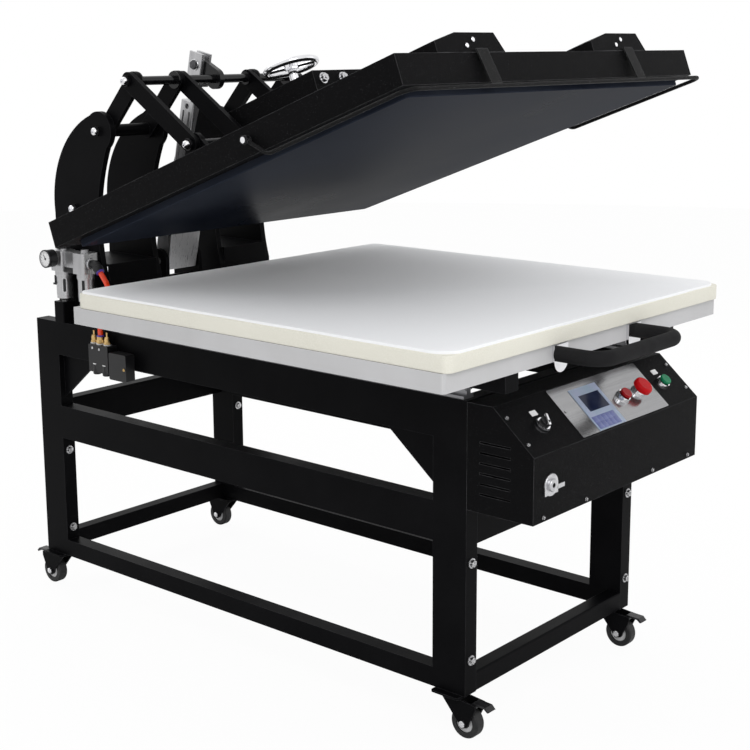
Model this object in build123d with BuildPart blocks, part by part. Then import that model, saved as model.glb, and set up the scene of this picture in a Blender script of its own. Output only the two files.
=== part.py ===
import math
import os

from build123d import *

# Sizes in millimetres. X is the operator's right, Y the back, Z up from the floor.
# Welded base
frame_length = 1300
frame_width = 600
tube_height = 80
tube_width = 35
cross_tube_width = 36
low_tube_height = 40
leg_bottom = 89
frame_top = 674
middle_tube_bottom = 388
gusset_along = 130
gusset_down = 105
gusset_thickness = 6
leg_bolt_heights = (159, 355)
bolt_washer_radius = 10
bolt_washer_thickness = 2
bolt_head_radius = 7
bolt_head_height = 5

# Casters
caster_plate_size = 66
caster_plate_thickness = 4
front_stem_inset = 40
rear_stem_inset = 36
wheel_radius = 32
wheel_width = 24
wheel_trail = 34
axle_radius = 4
kingpin_radius = 5
kingpin_depth = 10
fork_gap = 0.5
fork_disc_radius = 26
fork_disc_thickness = 5
fork_cheek_thickness = 3
fork_cheek_gap = 1.5
pedal_pivot_trail = 56
pedal_pivot_height = 73
pedal_length = 36
pedal_width = 22
pedal_thickness = 4
pedal_pin_radius = 3

# Running fits
shaft_clearance = 0.06
sliding_clearance = 0.3
link_side_gap = 2

# Lower platen that slides out
tray_width = 968
tray_length = 1006
tray_front = -738
tray_bottom = 734
tray_height = 35.5
tray_sheet = 3
tray_corner_radius = 8
tray_rib_width = 40
bar_clear_of_rail = 1
carriage_inset = 1
pad_side_inset = 0.5
pad_length_inset = 7
pad_front_overhang = 9
pad_thickness = 33.5
pad_corner_radius = 14
felt_inset = 2
felt_thickness = 4
rail_base_width = 30
rail_base_height = 6
rail_neck_width = 12
rail_neck_height = 10
rail_head_width = 22
rail_head_height = 10
rail_front = -640
rail_rear = 345
runner_width = 40
runner_length = 70
runner_insets = (388, 42)
handle_half_width = 145
handle_reach = 102
handle_below_pad = 19.5
handle_tube_radius = 10
handle_grip_radius = 15
handle_bend_radius = 38
handle_foot_width = 46
handle_foot_drop = 14
handle_foot_inset = 12
handle_foot_thickness = 6
handle_foot_clearance = 2.5

# Upper platen, given in the closed position and opened about the main hinge
open_angle = 20.3
hinge_y = 523
hinge_z = 944
press_gap = 1.8
plate_rear = 293
plate_width = 920
plate_length = 960
plate_thickness = 22
plate_corner_radius = 8
plate_chamfer = 1.5
housing_side_margin = 30
housing_front_margin = 21
housing_rear_margin = 46
housing_bottom = 14.4
housing_top = 70.7
housing_sheet = 3
housing_flange_gap = 0.6
stud_radius = 8

# Toggle linkage pivots as pictured, in Y and Z
knee_y = 322
knee_z = 1240
rear_pivot_y = 428
rear_pivot_z = 1126
front_pivot_back = -201.3
front_pivot_up = 151.9
link_plate = 12
link_half_width = 20
outer_set_x = 252
inner_set_x = 113
cheek_plate = 14
pivot_shaft_radius = 10
hinge_pin_radius = 12
link_sleeve_radius = 14
hinge_sleeve_radius = 18
knee_journal_radius = 5
knee_journal_play = 9.8
knee_collar_radius = 20
knee_collar_thickness = 3.5
knee_shaft_radius = 10
journal_gap = 0.6
pivot_head_radius = 11
pivot_head_height = 6
lug_thickness = 14
lug_eye_radius = 20
lug_play = 2

# Air cylinder between the knee and the base
cylinder_pin_y = 376
cylinder_pin_z = 1272
cylinder_base_y = 481
cylinder_base_z = 800
cylinder_pin_radius = 8
clevis_half_width = 16
clevis_ear = 8
clevis_depth = 46
clevis_above_pin = 29
clevis_base_drop = 48
clevis_slot_drop = 36
barrel_top_drop = 87
barrel_length = 205
barrel_width = 48
barrel_cap = 24
rod_radius = 12.5
rod_engaged = 30
cylinder_stroke = 104
foot_block_width = 94
foot_block_depth = 54
foot_block_below = 16
foot_block_above = 75
base_ear_thickness = 10
base_ear_width = 60
base_plate_thickness = 10
base_web_drop = 38
trunnion_radius = 9

# Rear tower
tower_front = 424
tower_rear = 600
tower_box_front = 424
tower_box_rear = 596
tower_box_top = 820
tower_box_sheet = 6
tower_beam_width = 40
cheek_head_radius = 45
cheek_curve_bottom = 930

# Centre bridge on the upper platen
bridge_half_width = 90
bridge_sheet = 8
bridge_front = 440
bridge_rear = 38
bridge_top = 229
bridge_ear_top = 271
bridge_bolt_spacing = 62
bridge_bolt_radius = 12
bridge_bolt_height = 9
handwheel_back = 303
handwheel_height = 285
handwheel_radius = 58
handwheel_rim = 7
handwheel_hub_radius = 17
handwheel_hub_height = 20
spindle_radius = 10
spindle_boss_radius = 18
spindle_boss_height = 14

# Safety bar and its switch boxes
bar_radius = 4
bar_side_gap = 10
bar_front_gap = 17
bar_height = 2.6
bar_pivot_back = 602
bar_pivot_up = 44
bar_knee_back = 648
bar_bend_radius = 26
bar_eye_radius = 9
bar_eye_thickness = 9
bar_stud_radius = 5
bar_stud_gap = 0.4
bar_stud_head = 3
strap_x = 250
strap_width = 32
strap_thickness = 3
strap_gap = 3
strap_top = 76
switch_box_depth = 60
switch_box_height = 37
switch_box_shoulder = 22
switch_box_left_reach = 123
switch_box_left_ridge = 61
switch_box_right_reach = 77
switch_box_right_ridge = 56
switch_box_chamfer = 6
switch_screws = ((-14, 23), (-36, 12))
screw_radius = 4
screw_height = 2.5

# Control box
control_width = 600
control_reach = 150
control_bottom = 465
control_lip = 592
control_top = 672
control_slope_back = 92
control_sheet = 2
lid_screw_inset = 12
vent_length = 70
vent_height = 3.5
vent_rows = 6
vent_pitch = 19.8
vent_behind_front = 86
panel_x = 24.5
panel_width = 319
panel_height = 116
panel_thickness = 1.5
panel_screw_inset = 8
membrane_x = -29
membrane_width = 94
membrane_height = 100
membrane_thickness = 1
display_x = -26
display_up = 67
display_width = 72
display_height = 41
keypad_x = -34
keypad_up = 21
keypad_width = 76
keypad_height = 29
button_up = 54
red_button_x = 64
stop_button_x = 123
green_button_x = 221
selector_x = -219
bezel_radius = 16
bezel_height = 10
button_stem_radius = 8
button_cap_radius = 12.5
button_cap_height = 4
button_travel = 3
stop_head_radius = 20
stop_head_height = 12
stop_travel = 4
selector_radius = 11
selector_height = 13
selector_lever_width = 6
latch_width = 42
latch_height = 18
latch_x = -246
latch_z = 531
latch_thickness = 2.5
latch_tongue_length = 24
latch_tongue_height = 8

# Air supply on the left side
post_size = 36
post_depth = 36
post_height = 50
post_y = 556
bracket_height = 36
supply_x = -294
filter_y = 543
oiler_y = 462
supply_block_bottom = 800
supply_block_top = 848
supply_block_size = 44
bowl_radius = 18
bowl_bottom = 735
gauge_radius = 20
gauge_depth = 24
knob_radius = 17
knob_height = 26
tube_radius = 6
elbow_radius = 9
elbow_reach = 17
elbow_drop = 22
valve_width = 28
valve_front = 352
valve_rear = 420
valve_bottom = 581
valve_top = 645
coil_front = 287
coil_bottom = 572
coil_top = 634
port_pitch = 23
port_inset = 28.5
fitting_radius = 6.5
silencer_height = 14
port_fitting_height = 12

# Values that follow from the sizes above
half_length = frame_length / 2
half_width = frame_width / 2
control_front = -half_length - control_reach
beam_bottom = frame_top - tube_height
middle_tube_top = middle_tube_bottom + tube_height
side_x = half_width - tube_width / 2
tray_top = tray_bottom + tray_height
tray_rear = tray_front + tray_length
tray_centre = (tray_front + tray_rear) / 2
runner_positions = [tray_rear - inset for inset in runner_insets]
pad_width = tray_width - 2 * pad_side_inset
pad_length = tray_length - pad_length_inset
pad_front = tray_front - pad_front_overhang
housing_width = plate_width + 2 * housing_side_margin
handle_height = tray_top - handle_below_pad
pad_top = tray_top + pad_thickness
felt_top = pad_top + felt_thickness
press_z = felt_top + press_gap
opened = math.radians(open_angle)
open_cos = math.cos(opened)
open_sin = math.sin(opened)
plate_y = hinge_y + (plate_rear - hinge_y) * open_cos + (press_z - hinge_z) * open_sin
plate_z = hinge_z - (plate_rear - hinge_y) * open_sin + (press_z - hinge_z) * open_cos
housing_front = plate_length + housing_front_margin
housing_rear = -housing_rear_margin
hinge_back = (hinge_y - plate_rear)
hinge_up = (hinge_z - press_z)
front_pivot_y = plate_y + front_pivot_back * open_cos + front_pivot_up * open_sin
front_pivot_z = plate_z - front_pivot_back * open_sin + front_pivot_up * open_cos
stem_front_y = -half_length + front_stem_inset
stem_rear_y = half_length - rear_stem_inset
handle_front = tray_front - handle_reach
front_reach = handle_front - handle_grip_radius
rear_reach = stem_rear_y + pedal_pivot_trail + pedal_length
origin_shift = -(front_reach + rear_reach) / 2
rail_top = frame_top + rail_base_height + rail_neck_height + rail_head_height
outer_front_link = outer_set_x + link_side_gap / 2
outer_rear_link = outer_set_x - link_side_gap / 2 - link_plate
inner_front_link = inner_set_x - link_side_gap / 2 - link_plate
inner_rear_link = inner_set_x + link_side_gap / 2
outer_cheek = outer_rear_link + link_plate + 3
inner_cheek = inner_rear_link - 3 - cheek_plate
cylinder_run = math.hypot(cylinder_pin_y - cylinder_base_y, cylinder_pin_z - cylinder_base_z)
cylinder_dir_y = (cylinder_pin_y - cylinder_base_y) / cylinder_run
cylinder_dir_z = (cylinder_pin_z - cylinder_base_z) / cylinder_run
slope_rise = control_top - control_lip
slope_length = math.hypot(control_slope_back, slope_rise)
slope_cos = control_slope_back / slope_length
slope_sin = slope_rise / slope_length

# Working planes
platen_plane = Plane(origin=(0, plate_y, plate_z), x_dir=(1, 0, 0), z_dir=(0, open_sin, open_cos))
slope_plane = Plane(origin=(0, control_front, control_lip), x_dir=(1, 0, 0), z_dir=(0, -slope_sin, slope_cos))
cylinder_plane = Plane(
    origin=(0, cylinder_base_y, cylinder_base_z),
    x_dir=(1, 0, 0),
    z_dir=(0, cylinder_dir_y, cylinder_dir_z),
)
finished = {}


def platen_side(x):
    return Plane(origin=(x, plate_y, plate_z), x_dir=(0, open_cos, -open_sin), z_dir=(1, 0, 0))


def cylinder_side(x):
    return Plane(
        origin=(x, cylinder_base_y, cylinder_base_z),
        x_dir=(0, cylinder_dir_z, -cylinder_dir_y),
        z_dir=(1, 0, 0),
    )


def on_platen(x, back, up):
    return (x, plate_y + back * open_cos + up * open_sin, plate_z - back * open_sin + up * open_cos)


# Welded side frames with legs, three rails, gussets and caster plates
for side in (-1, 1):
    with BuildPart() as side_frame:
        with BuildSketch(Plane.YZ.offset(side * side_x - tube_width / 2)):
            with Locations((0, frame_top - tube_height / 2)):
                Rectangle(frame_length, tube_height)
            for end in (-1, 1):
                with Locations((end * (half_length - tube_height / 2), (leg_bottom + beam_bottom) / 2)):
                    Rectangle(tube_height, beam_bottom - leg_bottom)
            with Locations((0, (middle_tube_bottom + middle_tube_top) / 2)):
                Rectangle(frame_length - 2 * tube_height, tube_height)
            with Locations((0, leg_bottom + low_tube_height / 2)):
                Rectangle(frame_length - 2 * tube_height, low_tube_height)
        extrude(amount=tube_width)
        with BuildSketch(Plane.YZ.offset(side * side_x - gusset_thickness / 2)):
            for end in (-1, 1):
                corner_y = end * (half_length - tube_height)
                with BuildLine():
                    Polyline(
                        (corner_y, beam_bottom),
                        (corner_y - end * gusset_along, beam_bottom),
                        (corner_y, beam_bottom - gusset_down),
                        close=True,
                    )
                make_face()
        extrude(amount=gusset_thickness)
        with BuildSketch(Plane.XY.offset(leg_bottom - caster_plate_thickness)):
            with Locations((side * side_x, stem_front_y), (side * side_x, stem_rear_y)):
                RectangleRounded(caster_plate_size, caster_plate_size, 6)
        extrude(amount=caster_plate_thickness)
        for face_y in (-half_length, half_length - tube_height):
            for bolt_z in leg_bolt_heights:
                bolt_at = (side * side_x, face_y, bolt_z)
                bolt_face = Plane(origin=bolt_at, x_dir=(1, 0, 0), z_dir=(0, -1, 0))
                with BuildSketch(bolt_face):
                    Circle(bolt_washer_radius)
                extrude(amount=bolt_washer_thickness)
                with BuildSketch(bolt_face.offset(bolt_washer_thickness)):
                    RegularPolygon(bolt_head_radius, 6)
                extrude(amount=bolt_head_height)
        with BuildSketch(Plane.XY.offset(leg_bottom - caster_plate_thickness)):
            with Locations((side * side_x, stem_front_y), (side * side_x, stem_rear_y)):
                Circle(kingpin_radius + shaft_clearance)
        extrude(amount=kingpin_depth, mode=Mode.SUBTRACT)
    finished["side_frame_left" if side < 0 else "side_frame_right"] = side_frame

# Cross tubes of the base
cross_width = frame_width - 2 * tube_width
cross_tubes = {
    "cross_rear_middle": (half_length - cross_tube_width, cross_tube_width, middle_tube_bottom, tube_height),
    "cross_rear_low": (half_length - cross_tube_width, cross_tube_width, leg_bottom, low_tube_height),
    "cross_front_middle": (-half_length, cross_tube_width, middle_tube_bottom, tube_height),
    "cross_front_low": (-half_length, cross_tube_width, leg_bottom, low_tube_height),
    "cross_front_top": (-half_length, cross_tube_width, beam_bottom, tube_height),
    "tower_beam_front": (tower_front, tower_beam_width, beam_bottom, tube_height),
    "tower_beam_rear": (tower_rear - tower_beam_width, tower_beam_width, beam_bottom, tube_height),
}
for label, (near_y, width, low_z, height) in cross_tubes.items():
    with BuildPart() as cross_tube:
        with BuildSketch(Plane.YZ.offset(-cross_width / 2)):
            with Locations((near_y + width / 2, low_z + height / 2)):
                RectangleRounded(width, height, 4)
        extrude(amount=cross_width)
    finished[label] = cross_tube

# Rear tower: two curved cheek plates, a box between them, the hinge pin and the link shaft
for side in (-1, 1):
    with BuildPart() as tower:
        near = inner_cheek
        far = outer_cheek
        for plate_x in (near, far):
            start = side * plate_x if side > 0 else -plate_x - cheek_plate
            with BuildSketch(Plane.YZ.offset(start)):
                with BuildLine():
                    Line((tower_rear, cheek_curve_bottom), (tower_rear, frame_top))
                    Line((tower_rear, frame_top), (tower_front, frame_top))
                    Line((tower_front, frame_top), (tower_front, tower_box_top - 40))
                    ThreePointArc(
                        (tower_front, tower_box_top - 40),
                        (tower_front + 16, (tower_box_top - 40 + rear_pivot_z - 8) / 2),
                        (rear_pivot_y - cheek_head_radius + 3, rear_pivot_z - 8),
                    )
                    Line(
                        (rear_pivot_y - cheek_head_radius + 3, rear_pivot_z - 8),
                        (rear_pivot_y + 20, rear_pivot_z + cheek_head_radius - 7),
                    )
                    ThreePointArc(
                        (rear_pivot_y + 20, rear_pivot_z + cheek_head_radius - 7),
                        (tower_rear - 21, rear_pivot_z - 75),
                        (tower_rear, cheek_curve_bottom),
                    )
                make_face()
                with Locations((rear_pivot_y, rear_pivot_z)):
                    Circle(cheek_head_radius)
            extrude(amount=cheek_plate)
        gap_start = near + cheek_plate if side > 0 else -far
        gap_width = far - near - cheek_plate
        with BuildSketch(Plane.YZ.offset(gap_start)):
            with BuildLine():
                Polyline(
                    (tower_box_front, frame_top),
                    (tower_box_front, tower_box_top),
                    (tower_box_rear, tower_box_top),
                    (tower_box_rear, tower_box_top - tower_box_sheet),
                    (tower_box_front + tower_box_sheet, tower_box_top - tower_box_sheet),
                    (tower_box_front + tower_box_sheet, frame_top),
                    close=True,
                )
            make_face()
        extrude(amount=gap_width)
        pin_start = near if side > 0 else -far - cheek_plate
        pin_length = far - near + cheek_plate
        with BuildSketch(Plane.YZ.offset(pin_start)):
            with Locations((hinge_y, hinge_z)):
                Circle(hinge_pin_radius)
            with Locations((rear_pivot_y, rear_pivot_z)):
                Circle(pivot_shaft_radius)
        extrude(amount=pin_length)
        head_start = far + cheek_plate if side > 0 else -far - cheek_plate - pivot_head_height
        with BuildSketch(Plane.YZ.offset(head_start)):
            with Locations((hinge_y, hinge_z), (rear_pivot_y, rear_pivot_z)):
                Circle(pivot_head_radius)
        extrude(amount=pivot_head_height)
    finished["tower_left" if side < 0 else "tower_right"] = tower

# Slide rails on the top tubes
for side in (-1, 1):
    with BuildPart() as rail:
        with BuildSketch(Plane.XZ.offset(-rail_rear)):
            with BuildLine():
                Polyline(
                    (side * side_x - rail_base_width / 2, frame_top),
                    (side * side_x + rail_base_width / 2, frame_top),
                    (side * side_x + rail_base_width / 2, frame_top + rail_base_height),
                    (side * side_x + rail_neck_width / 2, frame_top + rail_base_height),
                    (side * side_x + rail_neck_width / 2, rail_top - rail_head_height),
                    (side * side_x + rail_head_width / 2, rail_top - rail_head_height),
                    (side * side_x + rail_head_width / 2, rail_top),
                    (side * side_x - rail_head_width / 2, rail_top),
                    (side * side_x - rail_head_width / 2, rail_top - rail_head_height),
                    (side * side_x - rail_neck_width / 2, rail_top - rail_head_height),
                    (side * side_x - rail_neck_width / 2, frame_top + rail_base_height),
                    (side * side_x - rail_base_width / 2, frame_top + rail_base_height),
                    close=True,
                )
            make_face()
        extrude(amount=rail_rear - rail_front)
    finished["slide_rail_left" if side < 0 else "slide_rail_right"] = rail

# Tray: folded sheet with four ribs underneath
rib_positions = (
    tray_front + tray_sheet + tray_rib_width / 2,
    (tray_front + runner_positions[0]) / 2,
    runner_positions[0],
    runner_positions[1],
)
with BuildPart() as tray:
    with BuildSketch(Plane.XY.offset(tray_bottom)):
        with Locations((0, tray_centre)):
            RectangleRounded(tray_width, tray_length, tray_corner_radius)
    extrude(amount=tray_height)
    with BuildSketch(Plane.XY.offset(tray_bottom)):
        with Locations((0, tray_centre)):
            RectangleRounded(
                tray_width - 2 * tray_sheet,
                tray_length - 2 * tray_sheet,
                tray_corner_radius - tray_sheet,
            )
    extrude(amount=tray_height - tray_sheet, mode=Mode.SUBTRACT)
    with BuildSketch(Plane.XY.offset(tray_bottom)):
        for position in rib_positions:
            with Locations((0, position)):
                Rectangle(tray_width - tray_sheet, tray_rib_width)
    extrude(amount=tray_height - tray_sheet)
finished["tray"] = tray

# Carriage of the tray: a long bar over each rail, with runners that wrap the rail head
runner_bottom = frame_top + rail_base_height + 1
carriage_bottom = rail_top + bar_clear_of_rail
with BuildPart() as tray_runners:
    for side in (-1, 1):
        with BuildSketch(Plane.XY.offset(carriage_bottom)):
            with Locations((side * side_x, tray_centre)):
                Rectangle(runner_width, tray_length - 2 * carriage_inset)
        extrude(amount=tray_bottom - carriage_bottom)
        with BuildSketch(Plane.XY.offset(runner_bottom)):
            for position in runner_positions:
                with Locations((side * side_x, position)):
                    Rectangle(runner_width, runner_length)
        extrude(amount=carriage_bottom - runner_bottom)
    with BuildSketch(Plane.XZ.offset(-tray_rear)):
        for side in (-1, 1):
            slot_bottom = rail_top - rail_head_height - sliding_clearance
            slot_height = rail_head_height + 2 * sliding_clearance
            with Locations((side * side_x, slot_bottom + slot_height / 2)):
                Rectangle(rail_head_width + 2 * sliding_clearance, slot_height)
            with Locations((side * side_x, (runner_bottom + slot_bottom) / 2)):
                Rectangle(rail_neck_width + 2 * sliding_clearance, slot_bottom - runner_bottom + 0.2)
    extrude(amount=tray_length, mode=Mode.SUBTRACT)
finished["tray_runners"] = tray_runners

# Foam pad and felt cover
with BuildPart() as foam_pad:
    with BuildSketch(Plane.XY.offset(tray_top)):
        with Locations((0, pad_front + pad_length / 2)):
            RectangleRounded(pad_width, pad_length, pad_corner_radius)
    extrude(amount=pad_thickness)
finished["foam_pad"] = foam_pad

with BuildPart() as felt_cover:
    with BuildSketch(Plane.XY.offset(pad_top)):
        with Locations((0, pad_front + pad_length / 2)):
            RectangleRounded(pad_width - 2 * felt_inset, pad_length - 2 * felt_inset, pad_corner_radius)
    extrude(amount=felt_thickness)
finished["felt_cover"] = felt_cover

# Handle: bent tube on two rounded feet, with a foam grip over the tube
handle_points = (
    (-handle_half_width, tray_front, handle_height),
    (-handle_half_width, handle_front, handle_height),
    (handle_half_width, handle_front, handle_height),
    (handle_half_width, tray_front, handle_height),
)
grip_points = (
    (-handle_half_width, tray_front - handle_foot_thickness, handle_height),
    (-handle_half_width, handle_front, handle_height),
    (handle_half_width, handle_front, handle_height),
    (handle_half_width, tray_front - handle_foot_thickness, handle_height),
)
with BuildPart() as handle_bar:
    with BuildLine():
        FilletPolyline(*handle_points, radius=handle_bend_radius)
    with BuildSketch(Plane(origin=handle_points[0], x_dir=(1, 0, 0), z_dir=(0, -1, 0))):
        Circle(handle_tube_radius)
    sweep()
    with BuildSketch(Plane.XZ.offset(-tray_front)):
        for side in (-1, 1):
            foot_x = side * (handle_half_width - handle_foot_inset)
            foot_top = tray_top - handle_foot_clearance
            foot_low = handle_height - handle_foot_drop
            with Locations((foot_x, (foot_top + foot_low) / 2)):
                Rectangle(handle_foot_width, foot_top - foot_low)
            with Locations((foot_x, foot_low)):
                Circle(handle_foot_width / 2)
    extrude(amount=handle_foot_thickness)
finished["handle_bar"] = handle_bar

with BuildPart() as handle_grip:
    with BuildLine():
        FilletPolyline(*grip_points, radius=handle_bend_radius)
    with BuildSketch(Plane(origin=grip_points[0], x_dir=(1, 0, 0), z_dir=(0, -1, 0))):
        Circle(handle_grip_radius)
        Circle(handle_tube_radius, mode=Mode.SUBTRACT)
    sweep()
finished["handle_grip"] = handle_grip

# Upper platen housing: folded sheet open underneath, an inward flange and hanging studs
with BuildPart() as platen_housing:
    housing_length = housing_front - housing_rear
    housing_centre = -(housing_front + housing_rear) / 2
    with BuildSketch(platen_plane.offset(housing_bottom)):
        with Locations((0, housing_centre)):
            Rectangle(housing_width, housing_length)
    extrude(amount=housing_top - housing_bottom)
    with BuildSketch(platen_plane.offset(housing_bottom)):
        with Locations((0, housing_centre)):
            Rectangle(housing_width - 2 * housing_sheet, housing_length - 2 * housing_sheet)
    extrude(amount=housing_top - housing_bottom - housing_sheet, mode=Mode.SUBTRACT)
    with BuildSketch(platen_plane.offset(housing_bottom)):
        with Locations((0, housing_centre)):
            Rectangle(housing_width - housing_sheet, housing_length - housing_sheet)
        with Locations((0, -plate_length / 2)):
            Rectangle(
                plate_width + 2 * housing_flange_gap,
                plate_length + 2 * housing_flange_gap,
                mode=Mode.SUBTRACT,
            )
    extrude(amount=housing_sheet)
    with BuildSketch(platen_plane.offset(plate_thickness)):
        with Locations((0, -plate_length / 2)):
            with GridLocations(plate_width * 0.6, plate_length * 0.6, 2, 2):
                Circle(stud_radius)
    extrude(amount=housing_top - housing_sheet - plate_thickness)
    for side in (-1, 1):
        stud_length = bar_side_gap + bar_eye_thickness / 2 + bar_stud_gap
        with BuildSketch(platen_side(side * housing_width / 2)):
            with Locations((-bar_pivot_back, bar_pivot_up)):
                Circle(bar_stud_radius)
        extrude(amount=side * stud_length)
        with BuildSketch(platen_side(side * (housing_width / 2 + stud_length))):
            with Locations((-bar_pivot_back, bar_pivot_up)):
                Circle(bar_eye_radius - 1)
        extrude(amount=side * bar_stud_head)
finished["platen_housing"] = platen_housing

with BuildPart() as heating_plate:
    with BuildSketch(platen_plane):
        with Locations((0, -plate_length / 2)):
            RectangleRounded(plate_width, plate_length, plate_corner_radius)
    extrude(amount=plate_thickness)
    lower_edges = heating_plate.edges().filter_by(
        lambda edge: abs(platen_plane.to_local_coords(edge.center()).Z) < 0.01
    )
    chamfer(lower_edges, length=plate_chamfer)
finished["heating_plate"] = heating_plate

# Hinge arms on the housing: two plates a side with a hinge sleeve and an ear for the link shaft
for side in (-1, 1):
    with BuildPart() as hinge_arm:
        for plate_x in (outer_rear_link + 1, inner_rear_link - 1):
            start = plate_x if side > 0 else -plate_x - link_plate
            with BuildSketch(platen_side(start)):
                with BuildLine():
                    Polyline(
                        (housing_rear_margin, housing_top),
                        (front_pivot_back - 62, housing_top),
                        (front_pivot_back - 62, housing_top + 26),
                        (front_pivot_back - 22, front_pivot_up + 6),
                        (front_pivot_back + 22, front_pivot_up + 6),
                        (front_pivot_back + 60, housing_top + 44),
                        (hinge_back - 90, housing_top + 50),
                        (hinge_back - 8, hinge_up + 27),
                        (hinge_back + 20, hinge_up + 14),
                        (hinge_back + 20, hinge_up - 18),
                        (hinge_back - 6, hinge_up - 28),
                        close=True,
                    )
                make_face()
                with Locations((front_pivot_back, front_pivot_up)):
                    Circle(24)
                with Locations((hinge_back, hinge_up)):
                    Circle(28)
                with Locations((front_pivot_back, front_pivot_up)):
                    Circle(pivot_shaft_radius, mode=Mode.SUBTRACT)
            extrude(amount=link_plate)
        sleeve_start = inner_rear_link + link_plate - 2 if side > 0 else -outer_rear_link - 2
        with BuildSketch(platen_side(sleeve_start)):
            with Locations((hinge_back, hinge_up)):
                Circle(hinge_sleeve_radius)
        extrude(amount=outer_rear_link - inner_rear_link - link_plate + 4)
        bore_start = inner_cheek if side > 0 else -outer_cheek - cheek_plate
        with BuildSketch(platen_side(bore_start)):
            with Locations((hinge_back, hinge_up)):
                Circle(hinge_pin_radius + shaft_clearance)
        extrude(amount=outer_cheek - inner_cheek + cheek_plate, mode=Mode.SUBTRACT)
    finished["hinge_arm_left" if side < 0 else "hinge_arm_right"] = hinge_arm

# Centre bridge: folded channel with a bolted front plate and a boss for the spindle
with BuildPart() as platen_bridge:
    for side in (-1, 1):
        start = bridge_half_width - bridge_sheet if side > 0 else -bridge_half_width
        with BuildSketch(platen_side(start)):
            with BuildLine():
                Polyline(
                    (-bridge_rear, housing_top),
                    (-bridge_rear, bridge_top - 6),
                    (-bridge_rear - 39, bridge_ear_top),
                    (-bridge_rear - 66, bridge_ear_top),
                    (-bridge_rear - 118, bridge_top),
                    (-bridge_front, bridge_top),
                    (-bridge_front, housing_top),
                    close=True,
                )
            make_face()
            with Locations((front_pivot_back, front_pivot_up)):
                Circle(pivot_shaft_radius, mode=Mode.SUBTRACT)
        extrude(amount=bridge_sheet)
    with BuildSketch(platen_side(-bridge_half_width)):
        with BuildLine():
            Polyline(
                (-bridge_rear - 118, bridge_top),
                (-bridge_front, bridge_top),
                (-bridge_front, housing_top),
                (-bridge_front + bridge_sheet, housing_top),
                (-bridge_front + bridge_sheet, bridge_top - bridge_sheet),
                (-bridge_rear - 118, bridge_top - bridge_sheet),
                close=True,
            )
        make_face()
    extrude(amount=2 * bridge_half_width)
    for column in (-1, 0, 1):
        bolt_at = on_platen(column * bridge_bolt_spacing, -bridge_front, bridge_top - 18)
        with BuildSketch(Plane(origin=bolt_at, x_dir=(1, 0, 0), z_dir=(0, -open_cos, open_sin))):
            Circle(bridge_bolt_radius)
        extrude(amount=2)
        with BuildSketch(Plane(origin=bolt_at, x_dir=(1, 0, 0), z_dir=(0, -open_cos, open_sin))):
            RegularPolygon(bridge_bolt_radius - 3, 6)
        extrude(amount=bridge_bolt_height)
    with BuildSketch(platen_plane.offset(bridge_top)):
        with Locations((0, -handwheel_back)):
            Circle(spindle_boss_radius)
    extrude(amount=spindle_boss_height)
    with BuildSketch(platen_plane.offset(bridge_top - bridge_sheet)):
        with Locations((0, -handwheel_back)):
            Circle(spindle_radius + shaft_clearance)
    extrude(amount=bridge_sheet + spindle_boss_height, mode=Mode.SUBTRACT)
finished["platen_bridge"] = platen_bridge

# Shaft that carries the front links on the platen
with BuildPart() as platen_shaft:
    shaft_end = outer_front_link + link_plate
    with BuildSketch(platen_side(-shaft_end - 0.3)):
        with Locations((front_pivot_back, front_pivot_up)):
            Circle(pivot_shaft_radius)
    extrude(amount=2 * shaft_end + 0.6)
    for start in (-shaft_end - 0.3 - pivot_head_height, shaft_end + 0.3):
        with BuildSketch(platen_side(start)):
            with Locations((front_pivot_back, front_pivot_up)):
                Circle(pivot_head_radius + 2)
        extrude(amount=pivot_head_height)
finished["platen_shaft"] = platen_shaft

# Switch boxes over the front edge, each with a long slope at its left end
front_face = Plane(
    origin=on_platen(0, -housing_front, 0),
    x_dir=(1, 0, 0),
    z_dir=(0, -open_cos, open_sin),
)
for side in (-1, 1):
    with BuildPart() as switch_box:
        with BuildSketch(front_face):
            with BuildLine():
                Polyline(
                    (side * strap_x - switch_box_left_reach, housing_top),
                    (side * strap_x - switch_box_left_reach, housing_top + switch_box_shoulder),
                    (side * strap_x - switch_box_left_ridge, housing_top + switch_box_height),
                    (side * strap_x + switch_box_right_ridge, housing_top + switch_box_height),
                    (side * strap_x + switch_box_right_reach, housing_top),
                    close=True,
                )
            make_face()
        extrude(amount=-switch_box_depth)
        ridge_edges = switch_box.edges().filter_by(
            lambda edge: abs(front_face.to_local_coords(edge.center()).Y - housing_top - switch_box_height) < 0.01
        )
        chamfer(ridge_edges.filter_by(Axis.X).sort_by(Axis.Y)[-1], length=switch_box_chamfer)
        with BuildSketch(front_face):
            for screw_across, screw_up in switch_screws:
                with Locations((side * strap_x + screw_across, housing_top + screw_up)):
                    Circle(screw_radius)
        extrude(amount=screw_height)
    finished["switch_box_left" if side < 0 else "switch_box_right"] = switch_box

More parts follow.
